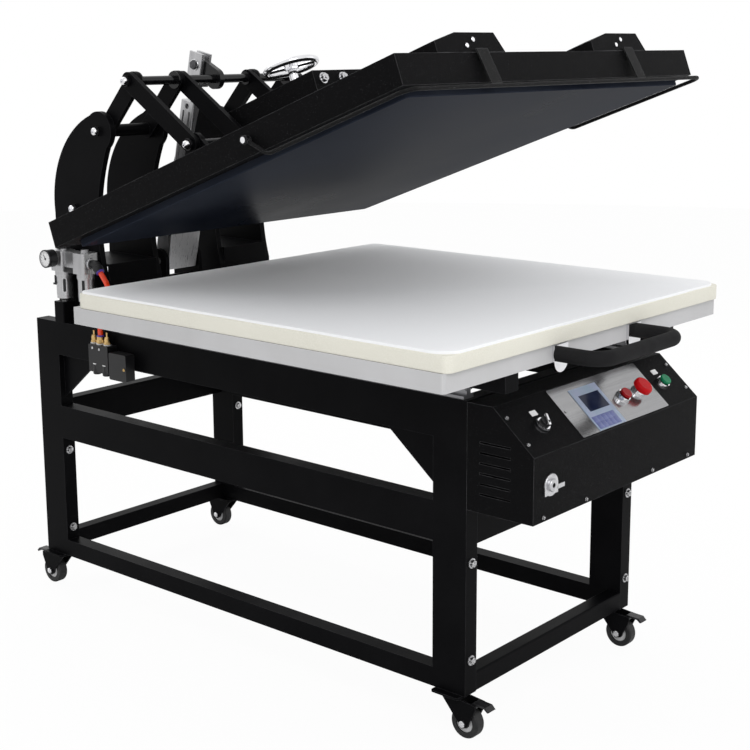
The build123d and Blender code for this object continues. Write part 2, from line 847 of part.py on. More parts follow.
# Handwheel with its spindle
with BuildPart() as handwheel:
    with BuildSketch(platen_plane.offset(bridge_top - bridge_sheet - 30)):
        with Locations((0, -handwheel_back)):
            Circle(spindle_radius)
    extrude(amount=handwheel_height - handwheel_hub_height / 2 - bridge_top + bridge_sheet + 30)
    with BuildSketch(platen_plane.offset(handwheel_height - handwheel_hub_height / 2)):
        with Locations((0, -handwheel_back)):
            Circle(handwheel_hub_radius)
    extrude(amount=handwheel_hub_height)
    rim_plane = Plane(
        origin=on_platen(0, -handwheel_back, handwheel_height),
        x_dir=(1, 0, 0),
        z_dir=(0, open_sin, open_cos),
    )
    for turn in range(4):
        spoke_angle = math.radians(turn * 90 + 45)
        spoke_dir = rim_plane.from_local_coords((math.cos(spoke_angle), math.sin(spoke_angle), 0))
        spoke_vector = spoke_dir - rim_plane.origin
        with BuildSketch(Plane(origin=rim_plane.origin + spoke_vector * 10, z_dir=spoke_vector)):
            Circle(5)
        extrude(amount=handwheel_radius - 10)
    rim_section = Plane(
        origin=rim_plane.from_local_coords((handwheel_radius, 0, 0)),
        x_dir=(1, 0, 0),
        z_dir=(0, -open_cos, open_sin),
    )
    with BuildSketch(rim_section):
        Circle(handwheel_rim)
    revolve(axis=Axis(rim_plane.origin, rim_plane.z_dir), revolution_arc=360)
finished["handwheel"] = handwheel

# Safety bar: bent rod round the front with two straps up to the switch boxes
bar_x = housing_width / 2 + bar_side_gap
bar_front = housing_front + bar_front_gap
bar_points = (
    on_platen(-bar_x, -bar_pivot_back, bar_pivot_up),
    on_platen(-bar_x, -bar_knee_back, bar_height),
    on_platen(-bar_x, -bar_front, bar_height),
    on_platen(bar_x, -bar_front, bar_height),
    on_platen(bar_x, -bar_knee_back, bar_height),
    on_platen(bar_x, -bar_pivot_back, bar_pivot_up),
)
with BuildPart() as safety_bar:
    with BuildLine() as bar_line:
        FilletPolyline(*bar_points, radius=bar_bend_radius)
    with BuildSketch(Plane(origin=bar_line.line @ 0, z_dir=bar_line.line % 0)):
        Circle(bar_radius)
    sweep()
    for side in (-1, 1):
        with BuildSketch(platen_side(side * bar_x - bar_eye_thickness / 2)):
            with Locations((-bar_pivot_back, bar_pivot_up)):
                Circle(bar_eye_radius)
        extrude(amount=bar_eye_thickness)
        with BuildSketch(platen_side(side * strap_x - strap_width / 2)):
            with BuildLine():
                Polyline(
                    (-housing_front - strap_gap, strap_top),
                    (-housing_front - strap_gap - strap_thickness, strap_top),
                    (-bar_front - strap_thickness / 2, bar_height),
                    (-bar_front + strap_thickness / 2, bar_height),
                    close=True,
                )
            make_face()
        extrude(amount=strap_width)
    with BuildSketch(platen_side(-bar_x - bar_eye_thickness)):
        with Locations((-bar_pivot_back, bar_pivot_up)):
            Circle(bar_stud_radius + shaft_clearance)
    extrude(amount=2 * bar_x + 2 * bar_eye_thickness, mode=Mode.SUBTRACT)
finished["safety_bar"] = safety_bar

# Front links of the four toggle sets
with BuildPart() as front_links:
    for start in (
        -outer_front_link - link_plate,
        -inner_front_link - link_plate,
        inner_front_link,
        outer_front_link,
    ):
        with BuildSketch(Plane.YZ.offset(start)):
            with Locations((knee_y, knee_z), (front_pivot_y, front_pivot_z)):
                Circle(link_half_width)
            make_hull()
            with Locations((front_pivot_y, front_pivot_z)):
                Circle(pivot_shaft_radius + shaft_clearance, mode=Mode.SUBTRACT)
            with Locations((knee_y, knee_z)):
                Circle(knee_journal_radius, mode=Mode.SUBTRACT)
        extrude(amount=link_plate)
finished["front_links"] = front_links

# Knee shaft: necked down inside each set, with collars, bolt heads and the cylinder lug
outer_end = -outer_front_link - link_plate
outer_neck_end = -outer_rear_link + journal_gap
inner_neck_end = -inner_rear_link - link_plate - journal_gap
shaft_steps = (
    (outer_end - pivot_head_height, outer_end, pivot_head_radius + 1),
    (outer_end, outer_neck_end, knee_journal_radius),
    (outer_neck_end, outer_neck_end + knee_collar_thickness, knee_collar_radius),
    (outer_neck_end, inner_neck_end, knee_shaft_radius),
    (inner_neck_end - knee_collar_thickness, inner_neck_end, knee_collar_radius),
    (inner_neck_end, -inner_front_link, knee_journal_radius),
    (-inner_front_link, -inner_front_link + knee_collar_thickness, knee_collar_radius - 4),
    (-inner_front_link, 0, knee_shaft_radius),
)
with BuildPart() as knee_shaft:
    for low_x, high_x, radius in shaft_steps:
        for side in (-1, 1):
            start = low_x if side < 0 else -high_x
            with BuildSketch(Plane.YZ.offset(start)):
                with Locations((knee_y, knee_z)):
                    Circle(radius)
            extrude(amount=high_x - low_x)
    with BuildSketch(Plane.YZ.offset(-lug_thickness / 2)):
        with Locations((knee_y, knee_z)):
            Circle(knee_collar_radius + 4)
        with Locations((cylinder_pin_y, cylinder_pin_z)):
            Circle(lug_eye_radius)
        make_hull()
        with Locations((cylinder_pin_y, cylinder_pin_z)):
            Circle(cylinder_pin_radius + lug_play + sliding_clearance, mode=Mode.SUBTRACT)
    extrude(amount=lug_thickness)
finished["knee_shaft"] = knee_shaft

# Rear links: two plates a side joined by a sleeve that turns on the tower shaft
with BuildPart() as rear_links:
    for side in (-1, 1):
        for plate_x in (outer_rear_link, inner_rear_link):
            start = plate_x if side > 0 else -plate_x - link_plate
            with BuildSketch(Plane.YZ.offset(start)):
                with Locations((knee_y, knee_z), (rear_pivot_y, rear_pivot_z)):
                    Circle(link_half_width + 1)
                make_hull()
                with Locations((knee_y, knee_z)):
                    Circle(knee_journal_radius + knee_journal_play, mode=Mode.SUBTRACT)
            extrude(amount=link_plate)
        sleeve_start = inner_rear_link + 1 if side > 0 else -outer_rear_link - 1
        with BuildSketch(Plane.YZ.offset(sleeve_start)):
            with Locations((rear_pivot_y, rear_pivot_z)):
                Circle(link_sleeve_radius)
        extrude(amount=outer_rear_link - inner_rear_link)
        bore_start = inner_rear_link if side > 0 else -outer_rear_link - link_plate
        with BuildSketch(Plane.YZ.offset(bore_start)):
            with Locations((rear_pivot_y, rear_pivot_z)):
                Circle(pivot_shaft_radius + shaft_clearance)
        extrude(amount=outer_rear_link - inner_rear_link + link_plate, mode=Mode.SUBTRACT)
finished["rear_links"] = rear_links

# Base bracket, rod and barrel of the air cylinder
with BuildPart() as cylinder_bracket:
    with BuildSketch(Plane.XY.offset(frame_top)):
        with Locations((0, (tower_front + tower_rear) / 2)):
            Rectangle(foot_block_width + 2 * base_ear_thickness + 10, tower_rear - tower_front)
    extrude(amount=base_plate_thickness)
    for side in (-1, 1):
        ear_start = foot_block_width / 2 + 1 if side > 0 else -foot_block_width / 2 - 1 - base_ear_thickness
        with BuildSketch(Plane.YZ.offset(ear_start)):
            with Locations((cylinder_base_y, cylinder_base_z)):
                Circle(base_ear_width / 2)
            with Locations((cylinder_base_y, (frame_top + cylinder_base_z) / 2)):
                Rectangle(base_ear_width, cylinder_base_z - frame_top)
            with Locations((cylinder_base_y, cylinder_base_z)):
                Circle(trunnion_radius + shaft_clearance, mode=Mode.SUBTRACT)
        extrude(amount=base_ear_thickness)
    with BuildSketch(Plane.XY.offset(frame_top)):
        with Locations((0, cylinder_base_y)):
            Rectangle(foot_block_width + 2 + base_ear_thickness, base_ear_thickness)
    extrude(amount=cylinder_base_z - base_web_drop - frame_top)
finished["cylinder_bracket"] = cylinder_bracket

rod_top = cylinder_run - barrel_top_drop - barrel_length + rod_engaged
with BuildPart() as cylinder_rod:
    with BuildSketch(cylinder_plane.offset(-foot_block_below)):
        RectangleRounded(foot_block_width, foot_block_depth, 6)
    extrude(amount=foot_block_below + foot_block_above)
    with BuildSketch(cylinder_plane.offset(foot_block_above)):
        Circle(rod_radius)
    extrude(amount=rod_top - foot_block_above)
    with BuildSketch(cylinder_plane.offset(foot_block_above)):
        Circle(rod_radius + 9)
    extrude(amount=8)
    with BuildSketch(Plane.YZ.offset(-foot_block_width / 2 - 1 - base_ear_thickness)):
        with Locations((cylinder_base_y, cylinder_base_z)):
            Circle(trunnion_radius)
    extrude(amount=foot_block_width + 2 + 2 * base_ear_thickness)
finished["cylinder_rod"] = cylinder_rod

barrel_top = cylinder_run - barrel_top_drop
barrel_bottom = barrel_top - barrel_length
with BuildPart() as cylinder_barrel:
    with BuildSketch(cylinder_plane.offset(barrel_bottom)):
        RectangleRounded(barrel_width, barrel_width, 5)
    extrude(amount=barrel_length)
    with BuildSketch(cylinder_plane.offset(barrel_bottom + barrel_cap)):
        for turn in range(4):
            across = barrel_width / 2 * math.cos(math.radians(90 * turn))
            along = barrel_width / 2 * math.sin(math.radians(90 * turn))
            for shift in (-10, 10):
                place = (across + (shift if turn % 2 else 0), along + (0 if turn % 2 else shift))
                with Locations(place):
                    Rectangle(6, 6)
    extrude(amount=barrel_length - 2 * barrel_cap, mode=Mode.SUBTRACT)
    with BuildSketch(cylinder_plane.offset(barrel_bottom)):
        Circle(rod_radius + shaft_clearance)
    extrude(amount=rod_engaged + cylinder_stroke, mode=Mode.SUBTRACT)
    for port_height in (barrel_bottom + barrel_cap / 2, barrel_top - barrel_cap / 2):
        port_at = cylinder_plane.from_local_coords((-barrel_width / 2, 0, port_height))
        with BuildSketch(Plane(origin=port_at, z_dir=(-1, 0, 0))):
            Circle(6.5)
        extrude(amount=-8, mode=Mode.SUBTRACT)
    with BuildSketch(cylinder_plane.offset(barrel_top)):
        Circle(rod_radius)
    extrude(amount=barrel_top_drop - clevis_base_drop)
    with BuildSketch(cylinder_plane.offset(cylinder_run - clevis_base_drop)):
        RectangleRounded(2 * clevis_half_width, clevis_depth, 3)
    extrude(amount=clevis_base_drop + clevis_above_pin)
    with BuildSketch(cylinder_plane.offset(cylinder_run - clevis_slot_drop)):
        Rectangle(2 * (clevis_half_width - clevis_ear), clevis_depth)
    extrude(amount=clevis_slot_drop + clevis_above_pin, mode=Mode.SUBTRACT)
    with BuildSketch(Plane.YZ.offset(-clevis_half_width - 2)):
        with Locations((cylinder_pin_y, cylinder_pin_z)):
            Circle(cylinder_pin_radius)
    extrude(amount=2 * clevis_half_width + 4)
finished["cylinder_barrel"] = cylinder_barrel

# Control box: hollow sheet box with a sloping top and vents in both ends
with BuildPart() as control_box:
    with BuildSketch(Plane.YZ.offset(-control_width / 2)):
        with BuildLine():
            Polyline(
                (-half_length, control_bottom),
                (control_front, control_bottom),
                (control_front, control_lip),
                (control_front + control_slope_back, control_top),
                (-half_length, control_top),
                close=True,
            )
        make_face()
    extrude(amount=control_width)
    with BuildSketch(Plane.YZ.offset(-control_width / 2 + control_sheet)):
        with BuildLine():
            Polyline(
                (-half_length - control_sheet, control_bottom + control_sheet),
                (control_front + control_sheet, control_bottom + control_sheet),
                (control_front + control_sheet, control_lip - control_sheet * 0.4),
                (control_front + control_slope_back + control_sheet * 0.4, control_top - control_sheet),
                (-half_length - control_sheet, control_top - control_sheet),
                close=True,
            )
        make_face()
    extrude(amount=control_width - 2 * control_sheet, mode=Mode.SUBTRACT)
    vent_y = control_front + vent_behind_front
    vent_z = control_bottom + 86
    with BuildSketch(Plane.YZ.offset(-control_width / 2)):
        with Locations((vent_y, vent_z)):
            with GridLocations(vent_length, vent_pitch, 1, vent_rows):
                SlotOverall(vent_length, vent_height)
    extrude(amount=control_width, mode=Mode.SUBTRACT)
    with BuildSketch(slope_plane.offset(-20)):
        with Locations(
            (red_button_x, button_up),
            (stop_button_x, button_up),
            (green_button_x, button_up),
            (selector_x, button_up),
        ):
            Circle(button_stem_radius + shaft_clearance + 1)
    extrude(amount=24, mode=Mode.SUBTRACT)
    for side in (-1, 1):
        for screw_up in (28, 92):
            screw_x = side * (control_width / 2 - lid_screw_inset)
            screw_at = slope_plane.from_local_coords((screw_x, screw_up, 0))
            with BuildSketch(Plane(origin=screw_at, x_dir=(1, 0, 0), z_dir=(0, -slope_sin, slope_cos))):
                Circle(screw_radius)
            extrude(amount=screw_height)
    for share in (-0.89, -0.41, 0.41, 0.89):
        screw_at = (share * control_width / 2, control_front, control_bottom + 8)
        with BuildSketch(Plane(origin=screw_at, x_dir=(1, 0, 0), z_dir=(0, -1, 0))):
            Circle(screw_radius)
        extrude(amount=screw_height)
    latch_plane = Plane(origin=(latch_x, control_front, latch_z), x_dir=(1, 0, 0), z_dir=(0, -1, 0))
    with BuildSketch(latch_plane):
        with Locations((0, -latch_height / 2)):
            Rectangle(latch_width, latch_height)
        Circle(latch_width / 2)
        with Locations((latch_width / 2 + latch_tongue_length / 2 - 2, -latch_tongue_height)):
            RectangleRounded(latch_tongue_length, latch_tongue_height, 2)
    extrude(amount=latch_thickness)
    with BuildSketch(latch_plane.offset(latch_thickness)):
        Circle(latch_width * 0.28)
    extrude(amount=2 * latch_thickness, taper=10)
finished["control_box"] = control_box

# Brushed panel with the raised membrane, display window and keypad field
with BuildPart() as control_panel:
    with BuildSketch(slope_plane):
        with Locations((panel_x, slope_length / 2)):
            RectangleRounded(panel_width, panel_height, 3)
        with Locations((red_button_x, button_up), (stop_button_x, button_up)):
            Circle(bezel_radius - 2, mode=Mode.SUBTRACT)
    extrude(amount=panel_thickness)
    with BuildSketch(slope_plane.offset(panel_thickness)):
        with Locations((membrane_x, slope_length / 2 - 7)):
            RectangleRounded(membrane_width, membrane_height, 3)
        with Locations((display_x, display_up)):
            Rectangle(display_width, display_height, mode=Mode.SUBTRACT)
    extrude(amount=membrane_thickness)
    with BuildSketch(slope_plane.offset(panel_thickness)):
        with Locations((display_x, display_up)):
            Rectangle(display_width, display_height)
    extrude(amount=membrane_thickness * 0.4)
    with BuildSketch(slope_plane.offset(panel_thickness + membrane_thickness)):
        with Locations((keypad_x, keypad_up)):
            RectangleRounded(keypad_width, keypad_height, 2)
    extrude(amount=0.5)
    for end in (-1, 1):
        screw_x = panel_x + end * (panel_width / 2 - panel_screw_inset)
        screw_at = slope_plane.from_local_coords((screw_x, slope_length / 2 + 4, panel_thickness))
        with BuildSketch(Plane(origin=screw_at, x_dir=(1, 0, 0), z_dir=(0, -slope_sin, slope_cos))):
            Circle(screw_radius - 1)
        extrude(amount=screw_height - 1)
finished["control_panel"] = control_panel

# Chrome bezels of the four operators
with BuildPart() as control_bezels:
    seats = (
        (red_button_x, panel_thickness),
        (stop_button_x, panel_thickness),
        (green_button_x, 0),
        (selector_x, 0),
    )
    for bezel_x, seat in seats:
        bezel_at = slope_plane.from_local_coords((bezel_x, button_up, seat))
        with BuildSketch(Plane(origin=bezel_at, x_dir=(1, 0, 0), z_dir=(0, -slope_sin, slope_cos))):
            Circle(bezel_radius)
            Circle(button_stem_radius + shaft_clearance, mode=Mode.SUBTRACT)
        extrude(amount=bezel_height, taper=12)
finished["control_bezels"] = control_bezels

# Push buttons, emergency stop and selector
for label, button_x, seat in (
    ("red_button", red_button_x, panel_thickness),
    ("green_button", green_button_x, 0),
):
    with BuildPart() as push_button:
        foot = seat - 12
        stem_at = slope_plane.from_local_coords((button_x, button_up, foot))
        cap_gap = button_travel + sliding_clearance
        with BuildSketch(Plane(origin=stem_at, x_dir=(1, 0, 0), z_dir=(0, -slope_sin, slope_cos))):
            Circle(button_stem_radius)
        extrude(amount=12 + bezel_height + cap_gap)
        cap_at = slope_plane.from_local_coords((button_x, button_up, seat + bezel_height + cap_gap))
        with BuildSketch(Plane(origin=cap_at, x_dir=(1, 0, 0), z_dir=(0, -slope_sin, slope_cos))):
            Circle(button_cap_radius)
        extrude(amount=button_cap_height, taper=15)
    finished[label] = push_button

with BuildPart() as stop_button:
    stem_at = slope_plane.from_local_coords((stop_button_x, button_up, panel_thickness - 12))
    head_at = slope_plane.from_local_coords(
        (stop_button_x, button_up, panel_thickness + bezel_height + stop_travel + sliding_clearance)
    )
    with BuildSketch(Plane(origin=stem_at, x_dir=(1, 0, 0), z_dir=(0, -slope_sin, slope_cos))):
        Circle(button_stem_radius)
    extrude(amount=12 + bezel_height + stop_travel + sliding_clearance + 4)
    with BuildSketch(Plane(origin=head_at, x_dir=(1, 0, 0), z_dir=(0, -slope_sin, slope_cos))):
        Circle(stop_head_radius)
    extrude(amount=stop_head_height)
    crown_height = slope_plane.to_local_coords(head_at).Z + stop_head_height
    crown = stop_button.edges().filter_by(
        lambda edge: abs(slope_plane.to_local_coords(edge.center()).Z - crown_height) < 0.01
    )
    fillet(crown, radius=stop_head_height * 0.5)
finished["stop_button"] = stop_button

with BuildPart() as selector:
    stem_at = slope_plane.from_local_coords((selector_x, button_up, -12))
    knob_at = slope_plane.from_local_coords((selector_x, button_up, bezel_height + sliding_clearance))
    with BuildSketch(Plane(origin=stem_at, x_dir=(1, 0, 0), z_dir=(0, -slope_sin, slope_cos))):
        Circle(button_stem_radius)
    extrude(amount=12 + bezel_height + sliding_clearance + 1)
    with BuildSketch(Plane(origin=knob_at, x_dir=(1, 0, 0), z_dir=(0, -slope_sin, slope_cos))):
        Circle(selector_radius)
    extrude(amount=selector_height * 0.6)
    with BuildSketch(Plane(origin=knob_at, x_dir=(1, 0, 0), z_dir=(0, -slope_sin, slope_cos))):
        SlotOverall(2 * selector_radius + 4, selector_lever_width, rotation=60)
    extrude(amount=selector_height)
finished["selector"] = selector

# Air supply: bracket on the left cheek, filter and oiler unit, gauge, knob
bracket_face = -outer_cheek - cheek_plate
with BuildPart() as supply_bracket:
    with BuildSketch(Plane.YZ.offset(supply_x + supply_block_size / 2)):
        with Locations(((filter_y + oiler_y) / 2, (supply_block_bottom + supply_block_top) / 2)):
            RectangleRounded(filter_y - oiler_y + supply_block_size, bracket_height, 4)
        with Locations((post_y, (frame_top + supply_block_top) / 2)):
            Rectangle(post_size, supply_block_top - frame_top)
    extrude(amount=bracket_face - supply_x - supply_block_size / 2)
    with BuildSketch(Plane.XY.offset(frame_top)):
        with Locations((bracket_face - post_depth / 2, post_y)):
            RectangleRounded(post_depth, post_size, 3)
    extrude(amount=post_height)
finished["supply_bracket"] = supply_bracket

block_middle = (supply_block_bottom + supply_block_top) / 2
elbow_corner = Vector(supply_x, oiler_y - supply_block_size / 2 - elbow_reach, block_middle)
tube_low_point = elbow_corner + Vector(-4, -53, -52)
tube_start = elbow_corner + (tube_low_point - elbow_corner).normalized() * elbow_drop

with BuildPart() as supply_unit:
    with BuildLine() as elbow_line:
        FilletPolyline(
            Vector(supply_x, oiler_y - supply_block_size / 2, block_middle),
            elbow_corner,
            tube_start,
            radius=9,
        )
    with BuildSketch(Plane(origin=elbow_line.line @ 0, z_dir=elbow_line.line % 0)):
        Circle(elbow_radius)
    sweep()
    with BuildSketch(Plane.XY.offset(supply_block_bottom)):
        with Locations((supply_x, filter_y), (supply_x, oiler_y)):
            RectangleRounded(supply_block_size, supply_block_size, 6)
        with Locations((supply_x, (filter_y + oiler_y) / 2)):
            Rectangle(supply_block_size * 0.6, filter_y - oiler_y)
    extrude(amount=supply_block_top - supply_block_bottom)
    for bowl_y in (filter_y, oiler_y):
        with BuildSketch(Plane.XY.offset(bowl_bottom)):
            with Locations((supply_x, bowl_y)):
                Circle(bowl_radius)
        extrude(amount=supply_block_bottom - bowl_bottom)
        with BuildSketch(Plane.XY.offset(bowl_bottom - 8)):
            with Locations((supply_x, bowl_y)):
                Circle(bowl_radius * 0.45)
        extrude(amount=8)
        with BuildSketch(Plane.XY.offset(supply_block_bottom - 10)):
            with Locations((supply_x, bowl_y)):
                Circle(bowl_radius + 2.5)
        extrude(amount=10)
        with BuildSketch(Plane.YZ.offset(supply_x - bowl_radius - 1)):
            with Locations((bowl_y, (bowl_bottom + supply_block_bottom) / 2 - 6)):
                SlotOverall(34, 7, rotation=90)
        extrude(amount=4, mode=Mode.SUBTRACT)
    with BuildSketch(Plane.XY.offset(supply_block_top)):
        with Locations((supply_x, filter_y)):
            Circle(knob_radius - 3)
            Circle(5 + shaft_clearance, mode=Mode.SUBTRACT)
    extrude(amount=4)
    with BuildSketch(Plane.XY.offset(supply_block_top - 12)):
        with Locations((supply_x, filter_y)):
            Circle(5 + shaft_clearance)
    extrude(amount=12, mode=Mode.SUBTRACT)
    with BuildSketch(Plane.XY.offset(supply_block_top)):
        with Locations((supply_x, oiler_y)):
            Circle(9)
    extrude(amount=7)
    with BuildSketch(Plane.XZ.offset(-oiler_y + supply_block_size / 2)):
        with Locations((supply_x, (supply_block_bottom + supply_block_top) / 2)):
            Circle(13)
    extrude(amount=5)
    gauge_z = block_middle + 8
    with BuildSketch(Plane(origin=(supply_x - supply_block_size / 2, filter_y, gauge_z), z_dir=(-1, 0, 0))):
        Circle(7)
    extrude(amount=10)
    gauge_back = supply_x - supply_block_size / 2 - 7
    with BuildSketch(Plane(origin=(gauge_back, filter_y, gauge_z), z_dir=(-1, 0, 0))):
        Circle(gauge_radius)
    extrude(amount=gauge_depth)
    with BuildSketch(Plane(origin=(gauge_back - gauge_depth, filter_y, gauge_z), z_dir=(-1, 0, 0))):
        Circle(gauge_radius - 2.5)
    extrude(amount=-2, mode=Mode.SUBTRACT)
finished["supply_unit"] = supply_unit

with BuildPart() as supply_knob:
    knob_base = supply_block_top + 4 + sliding_clearance
    with BuildSketch(Plane.XY.offset(supply_block_top - 10)):
        with Locations((supply_x, filter_y)):
            Circle(5)
    extrude(amount=10 + 4 + sliding_clearance + 2)
    with BuildSketch(Plane.XY.offset(knob_base)):
        with Locations((supply_x, filter_y)):
            Circle(knob_radius)
            with PolarLocations(knob_radius + 1, 10):
                Circle(2.6, mode=Mode.SUBTRACT)
    extrude(amount=knob_height)
    with BuildSketch(Plane.XY.offset(knob_base + knob_height)):
        with Locations((supply_x, filter_y)):
            Circle(knob_radius - 4)
    extrude(amount=3, taper=20)
finished["supply_knob"] = supply_knob

# Solenoid valve on the left top tube, its ports, the elbow and the air tube
port_y = valve_rear - port_inset
port_x = -half_width - valve_width / 2
with BuildPart() as valve_body:
    with BuildSketch(Plane.YZ.offset(-half_width - valve_width)):
        with Locations(((valve_front + valve_rear) / 2, (valve_bottom + valve_top) / 2)):
            RectangleRounded(valve_rear - valve_front, valve_top - valve_bottom, 3)
    extrude(amount=valve_width)
    with BuildSketch(Plane.YZ.offset(-half_width - valve_width - 2)):
        with Locations(((coil_front + valve_front - 6) / 2, (coil_bottom + coil_top) / 2)):
            RectangleRounded(valve_front - 6 - coil_front, coil_top - coil_bottom, 4)
    extrude(amount=valve_width - 2)
    with BuildSketch(Plane.XZ.offset(-valve_front - 1)):
        with Locations((port_x, (coil_bottom + coil_top) / 2)):
            Circle(9)
    extrude(amount=10)
finished["valve_body"] = valve_body

with BuildPart() as valve_fittings:
    for place, height, radius in (
        (-1, silencer_height, fitting_radius),
        (0, port_fitting_height, tube_radius + 2),
        (1, silencer_height, fitting_radius),
    ):
        with BuildSketch(Plane.XY.offset(valve_top)):
            with Locations((port_x, port_y + place * port_pitch)):
                RegularPolygon(radius + 1, 6)
        extrude(amount=6)
        with BuildSketch(Plane.XY.offset(valve_top + 6)):
            with Locations((port_x, port_y + place * port_pitch)):
                Circle(radius - 1 if place else radius)
        extrude(amount=height)
finished["valve_fittings"] = valve_fittings

tube_end = Vector(port_x, port_y, valve_top + 6 + port_fitting_height)
tube_points = (
    tube_start,
    tube_low_point,
    Vector(port_x, port_y, tube_end.Z + 48),
    tube_end,
)
with BuildPart() as air_tube:
    with BuildLine() as tube_line:
        FilletPolyline(*tube_points, radius=38)
    with BuildSketch(Plane(origin=tube_line.line @ 0, z_dir=tube_line.line % 0)):
        Circle(tube_radius)
    sweep()
finished["air_tube"] = air_tube

# Swivel casters with wheel and brake pedal
corners = {
    "front_left": (-1, stem_front_y, -1),
    "front_right": (1, stem_front_y, -1),
    "rear_left": (-1, stem_rear_y, 1),
    "rear_right": (1, stem_rear_y, 1),
}
fork_top = leg_bottom - caster_plate_thickness - fork_gap
cheek_x = wheel_width / 2 + fork_cheek_gap
for corner, (side, stem_y, trail) in corners.items():
    stem_x = side * side_x
    axle_y = stem_y + trail * wheel_trail
    pedal_y = stem_y + trail * pedal_pivot_trail
    with BuildPart() as caster_fork:
        with BuildSketch(Plane.XY.offset(fork_top - fork_disc_thickness)):
            with Locations((stem_x, stem_y)):
                Circle(fork_disc_radius)
        extrude(amount=fork_disc_thickness)
        with BuildSketch(Plane.XY.offset(fork_top)):
            with Locations((stem_x, stem_y)):
                Circle(kingpin_radius)
        extrude(amount=fork_gap + kingpin_depth - 0.5)
        for start in (stem_x - cheek_x - fork_cheek_thickness, stem_x + cheek_x):
            with BuildSketch(Plane.YZ.offset(start)):
                with BuildLine():
                    Polyline(
                        (stem_y - trail * 20, fork_top - fork_disc_thickness),
                        (stem_y + trail * 20, fork_top - fork_disc_thickness),
                        (pedal_y + trail * 7, pedal_pivot_height + 3),
                        (pedal_y + trail * 7, pedal_pivot_height - 7),
                        (axle_y + trail * 10, wheel_radius - 6),
                        (axle_y - trail * 4, wheel_radius - 11),
                        (axle_y - trail * 12, wheel_radius),
                        close=True,
                    )
                make_face()
            extrude(amount=fork_cheek_thickness)
        with BuildSketch(Plane.YZ.offset(stem_x - cheek_x - fork_cheek_thickness - 4)):
            with Locations((axle_y, wheel_radius)):
                Circle(axle_radius)
        extrude(amount=2 * (cheek_x + fork_cheek_thickness + 4))
        for start in (stem_x - cheek_x - fork_cheek_thickness - 4, stem_x + cheek_x + fork_cheek_thickness):
            with BuildSketch(Plane.YZ.offset(start)):
                with Locations((axle_y, wheel_radius)):
                    RegularPolygon(7, 6)
            extrude(amount=4)
        with BuildSketch(Plane.YZ.offset(stem_x - cheek_x - fork_cheek_thickness)):
            with Locations((pedal_y, pedal_pivot_height)):
                Circle(pedal_pin_radius)
        extrude(amount=2 * (cheek_x + fork_cheek_thickness))
    finished["caster_fork_" + corner] = caster_fork

    with BuildPart() as caster_wheel:
        with BuildSketch(Plane.YZ.offset(stem_x - wheel_width / 2)):
            with Locations((axle_y, wheel_radius)):
                Circle(wheel_radius)
                Circle(axle_radius + shaft_clearance, mode=Mode.SUBTRACT)
        extrude(amount=wheel_width)
        rim_edges = caster_wheel.edges().filter_by(GeomType.CIRCLE).sort_by(SortBy.RADIUS)[-2:]
        fillet(rim_edges, radius=4)
        for start in (stem_x - wheel_width / 2, stem_x + wheel_width / 2 - 3):
            with BuildSketch(Plane.YZ.offset(start)):
                with Locations((axle_y, wheel_radius)):
                    Circle(wheel_radius * 0.62)
                    Circle(wheel_radius * 0.34, mode=Mode.SUBTRACT)
            extrude(amount=3, mode=Mode.SUBTRACT)
    finished["caster_wheel_" + corner] = caster_wheel

    with BuildPart() as brake_pedal:
        with BuildSketch(Plane.YZ.offset(stem_x - pedal_width / 2)):
            with Locations((pedal_y, pedal_pivot_height)):
                Circle(pedal_pin_radius + 3)
            with BuildLine():
                Polyline(
                    (pedal_y, pedal_pivot_height + pedal_pin_radius + 3),
                    (pedal_y + trail * (pedal_length - 8), pedal_pivot_height + 1 + pedal_thickness),
                    (pedal_y + trail * pedal_length, pedal_pivot_height - 3),
                    (pedal_y + trail * (pedal_length - 4), pedal_pivot_height - 5),
                    (pedal_y + trail * (pedal_length - 12), pedal_pivot_height + 1),
                    (pedal_y, pedal_pivot_height + pedal_pin_radius + 3 - pedal_thickness),
                    close=True,
                )
            make_face()
            with Locations((pedal_y, pedal_pivot_height)):
                Circle(pedal_pin_radius + shaft_clearance, mode=Mode.SUBTRACT)
        extrude(amount=pedal_width)
    finished["brake_pedal_" + corner] = brake_pedal

# Every part is shifted so that the origin lies under the middle of the whole object
os.makedirs("parts", exist_ok=True)
for label, built in finished.items():
    piece = built.part.moved(Location((0, origin_shift, 0)))
    piece.label = label
    export_step(piece, "parts/" + label + ".step")
print("pieces", len(finished), "origin shift", round(origin_shift, 3))
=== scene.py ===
import bpy
import bmesh
import math
from mathutils import Matrix, Vector, noise


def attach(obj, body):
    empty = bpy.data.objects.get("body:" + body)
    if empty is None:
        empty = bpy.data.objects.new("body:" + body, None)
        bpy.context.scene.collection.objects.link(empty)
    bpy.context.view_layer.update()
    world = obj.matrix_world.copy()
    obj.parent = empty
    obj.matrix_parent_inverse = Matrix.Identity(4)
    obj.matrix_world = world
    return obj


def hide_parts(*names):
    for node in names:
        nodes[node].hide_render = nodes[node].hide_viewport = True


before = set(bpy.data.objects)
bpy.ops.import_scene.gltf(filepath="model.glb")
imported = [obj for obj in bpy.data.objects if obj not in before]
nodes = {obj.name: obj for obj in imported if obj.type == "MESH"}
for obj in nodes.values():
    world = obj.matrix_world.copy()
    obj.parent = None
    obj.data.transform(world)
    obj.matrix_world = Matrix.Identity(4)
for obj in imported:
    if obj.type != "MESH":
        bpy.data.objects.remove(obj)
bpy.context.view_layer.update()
print("frame loaded,", len(nodes), "nodes")

# places shared by the pieces, in metres
shift = 0.0745
tilt = math.radians(20.3)
slopeAngle = math.atan2(0.08, 0.092)


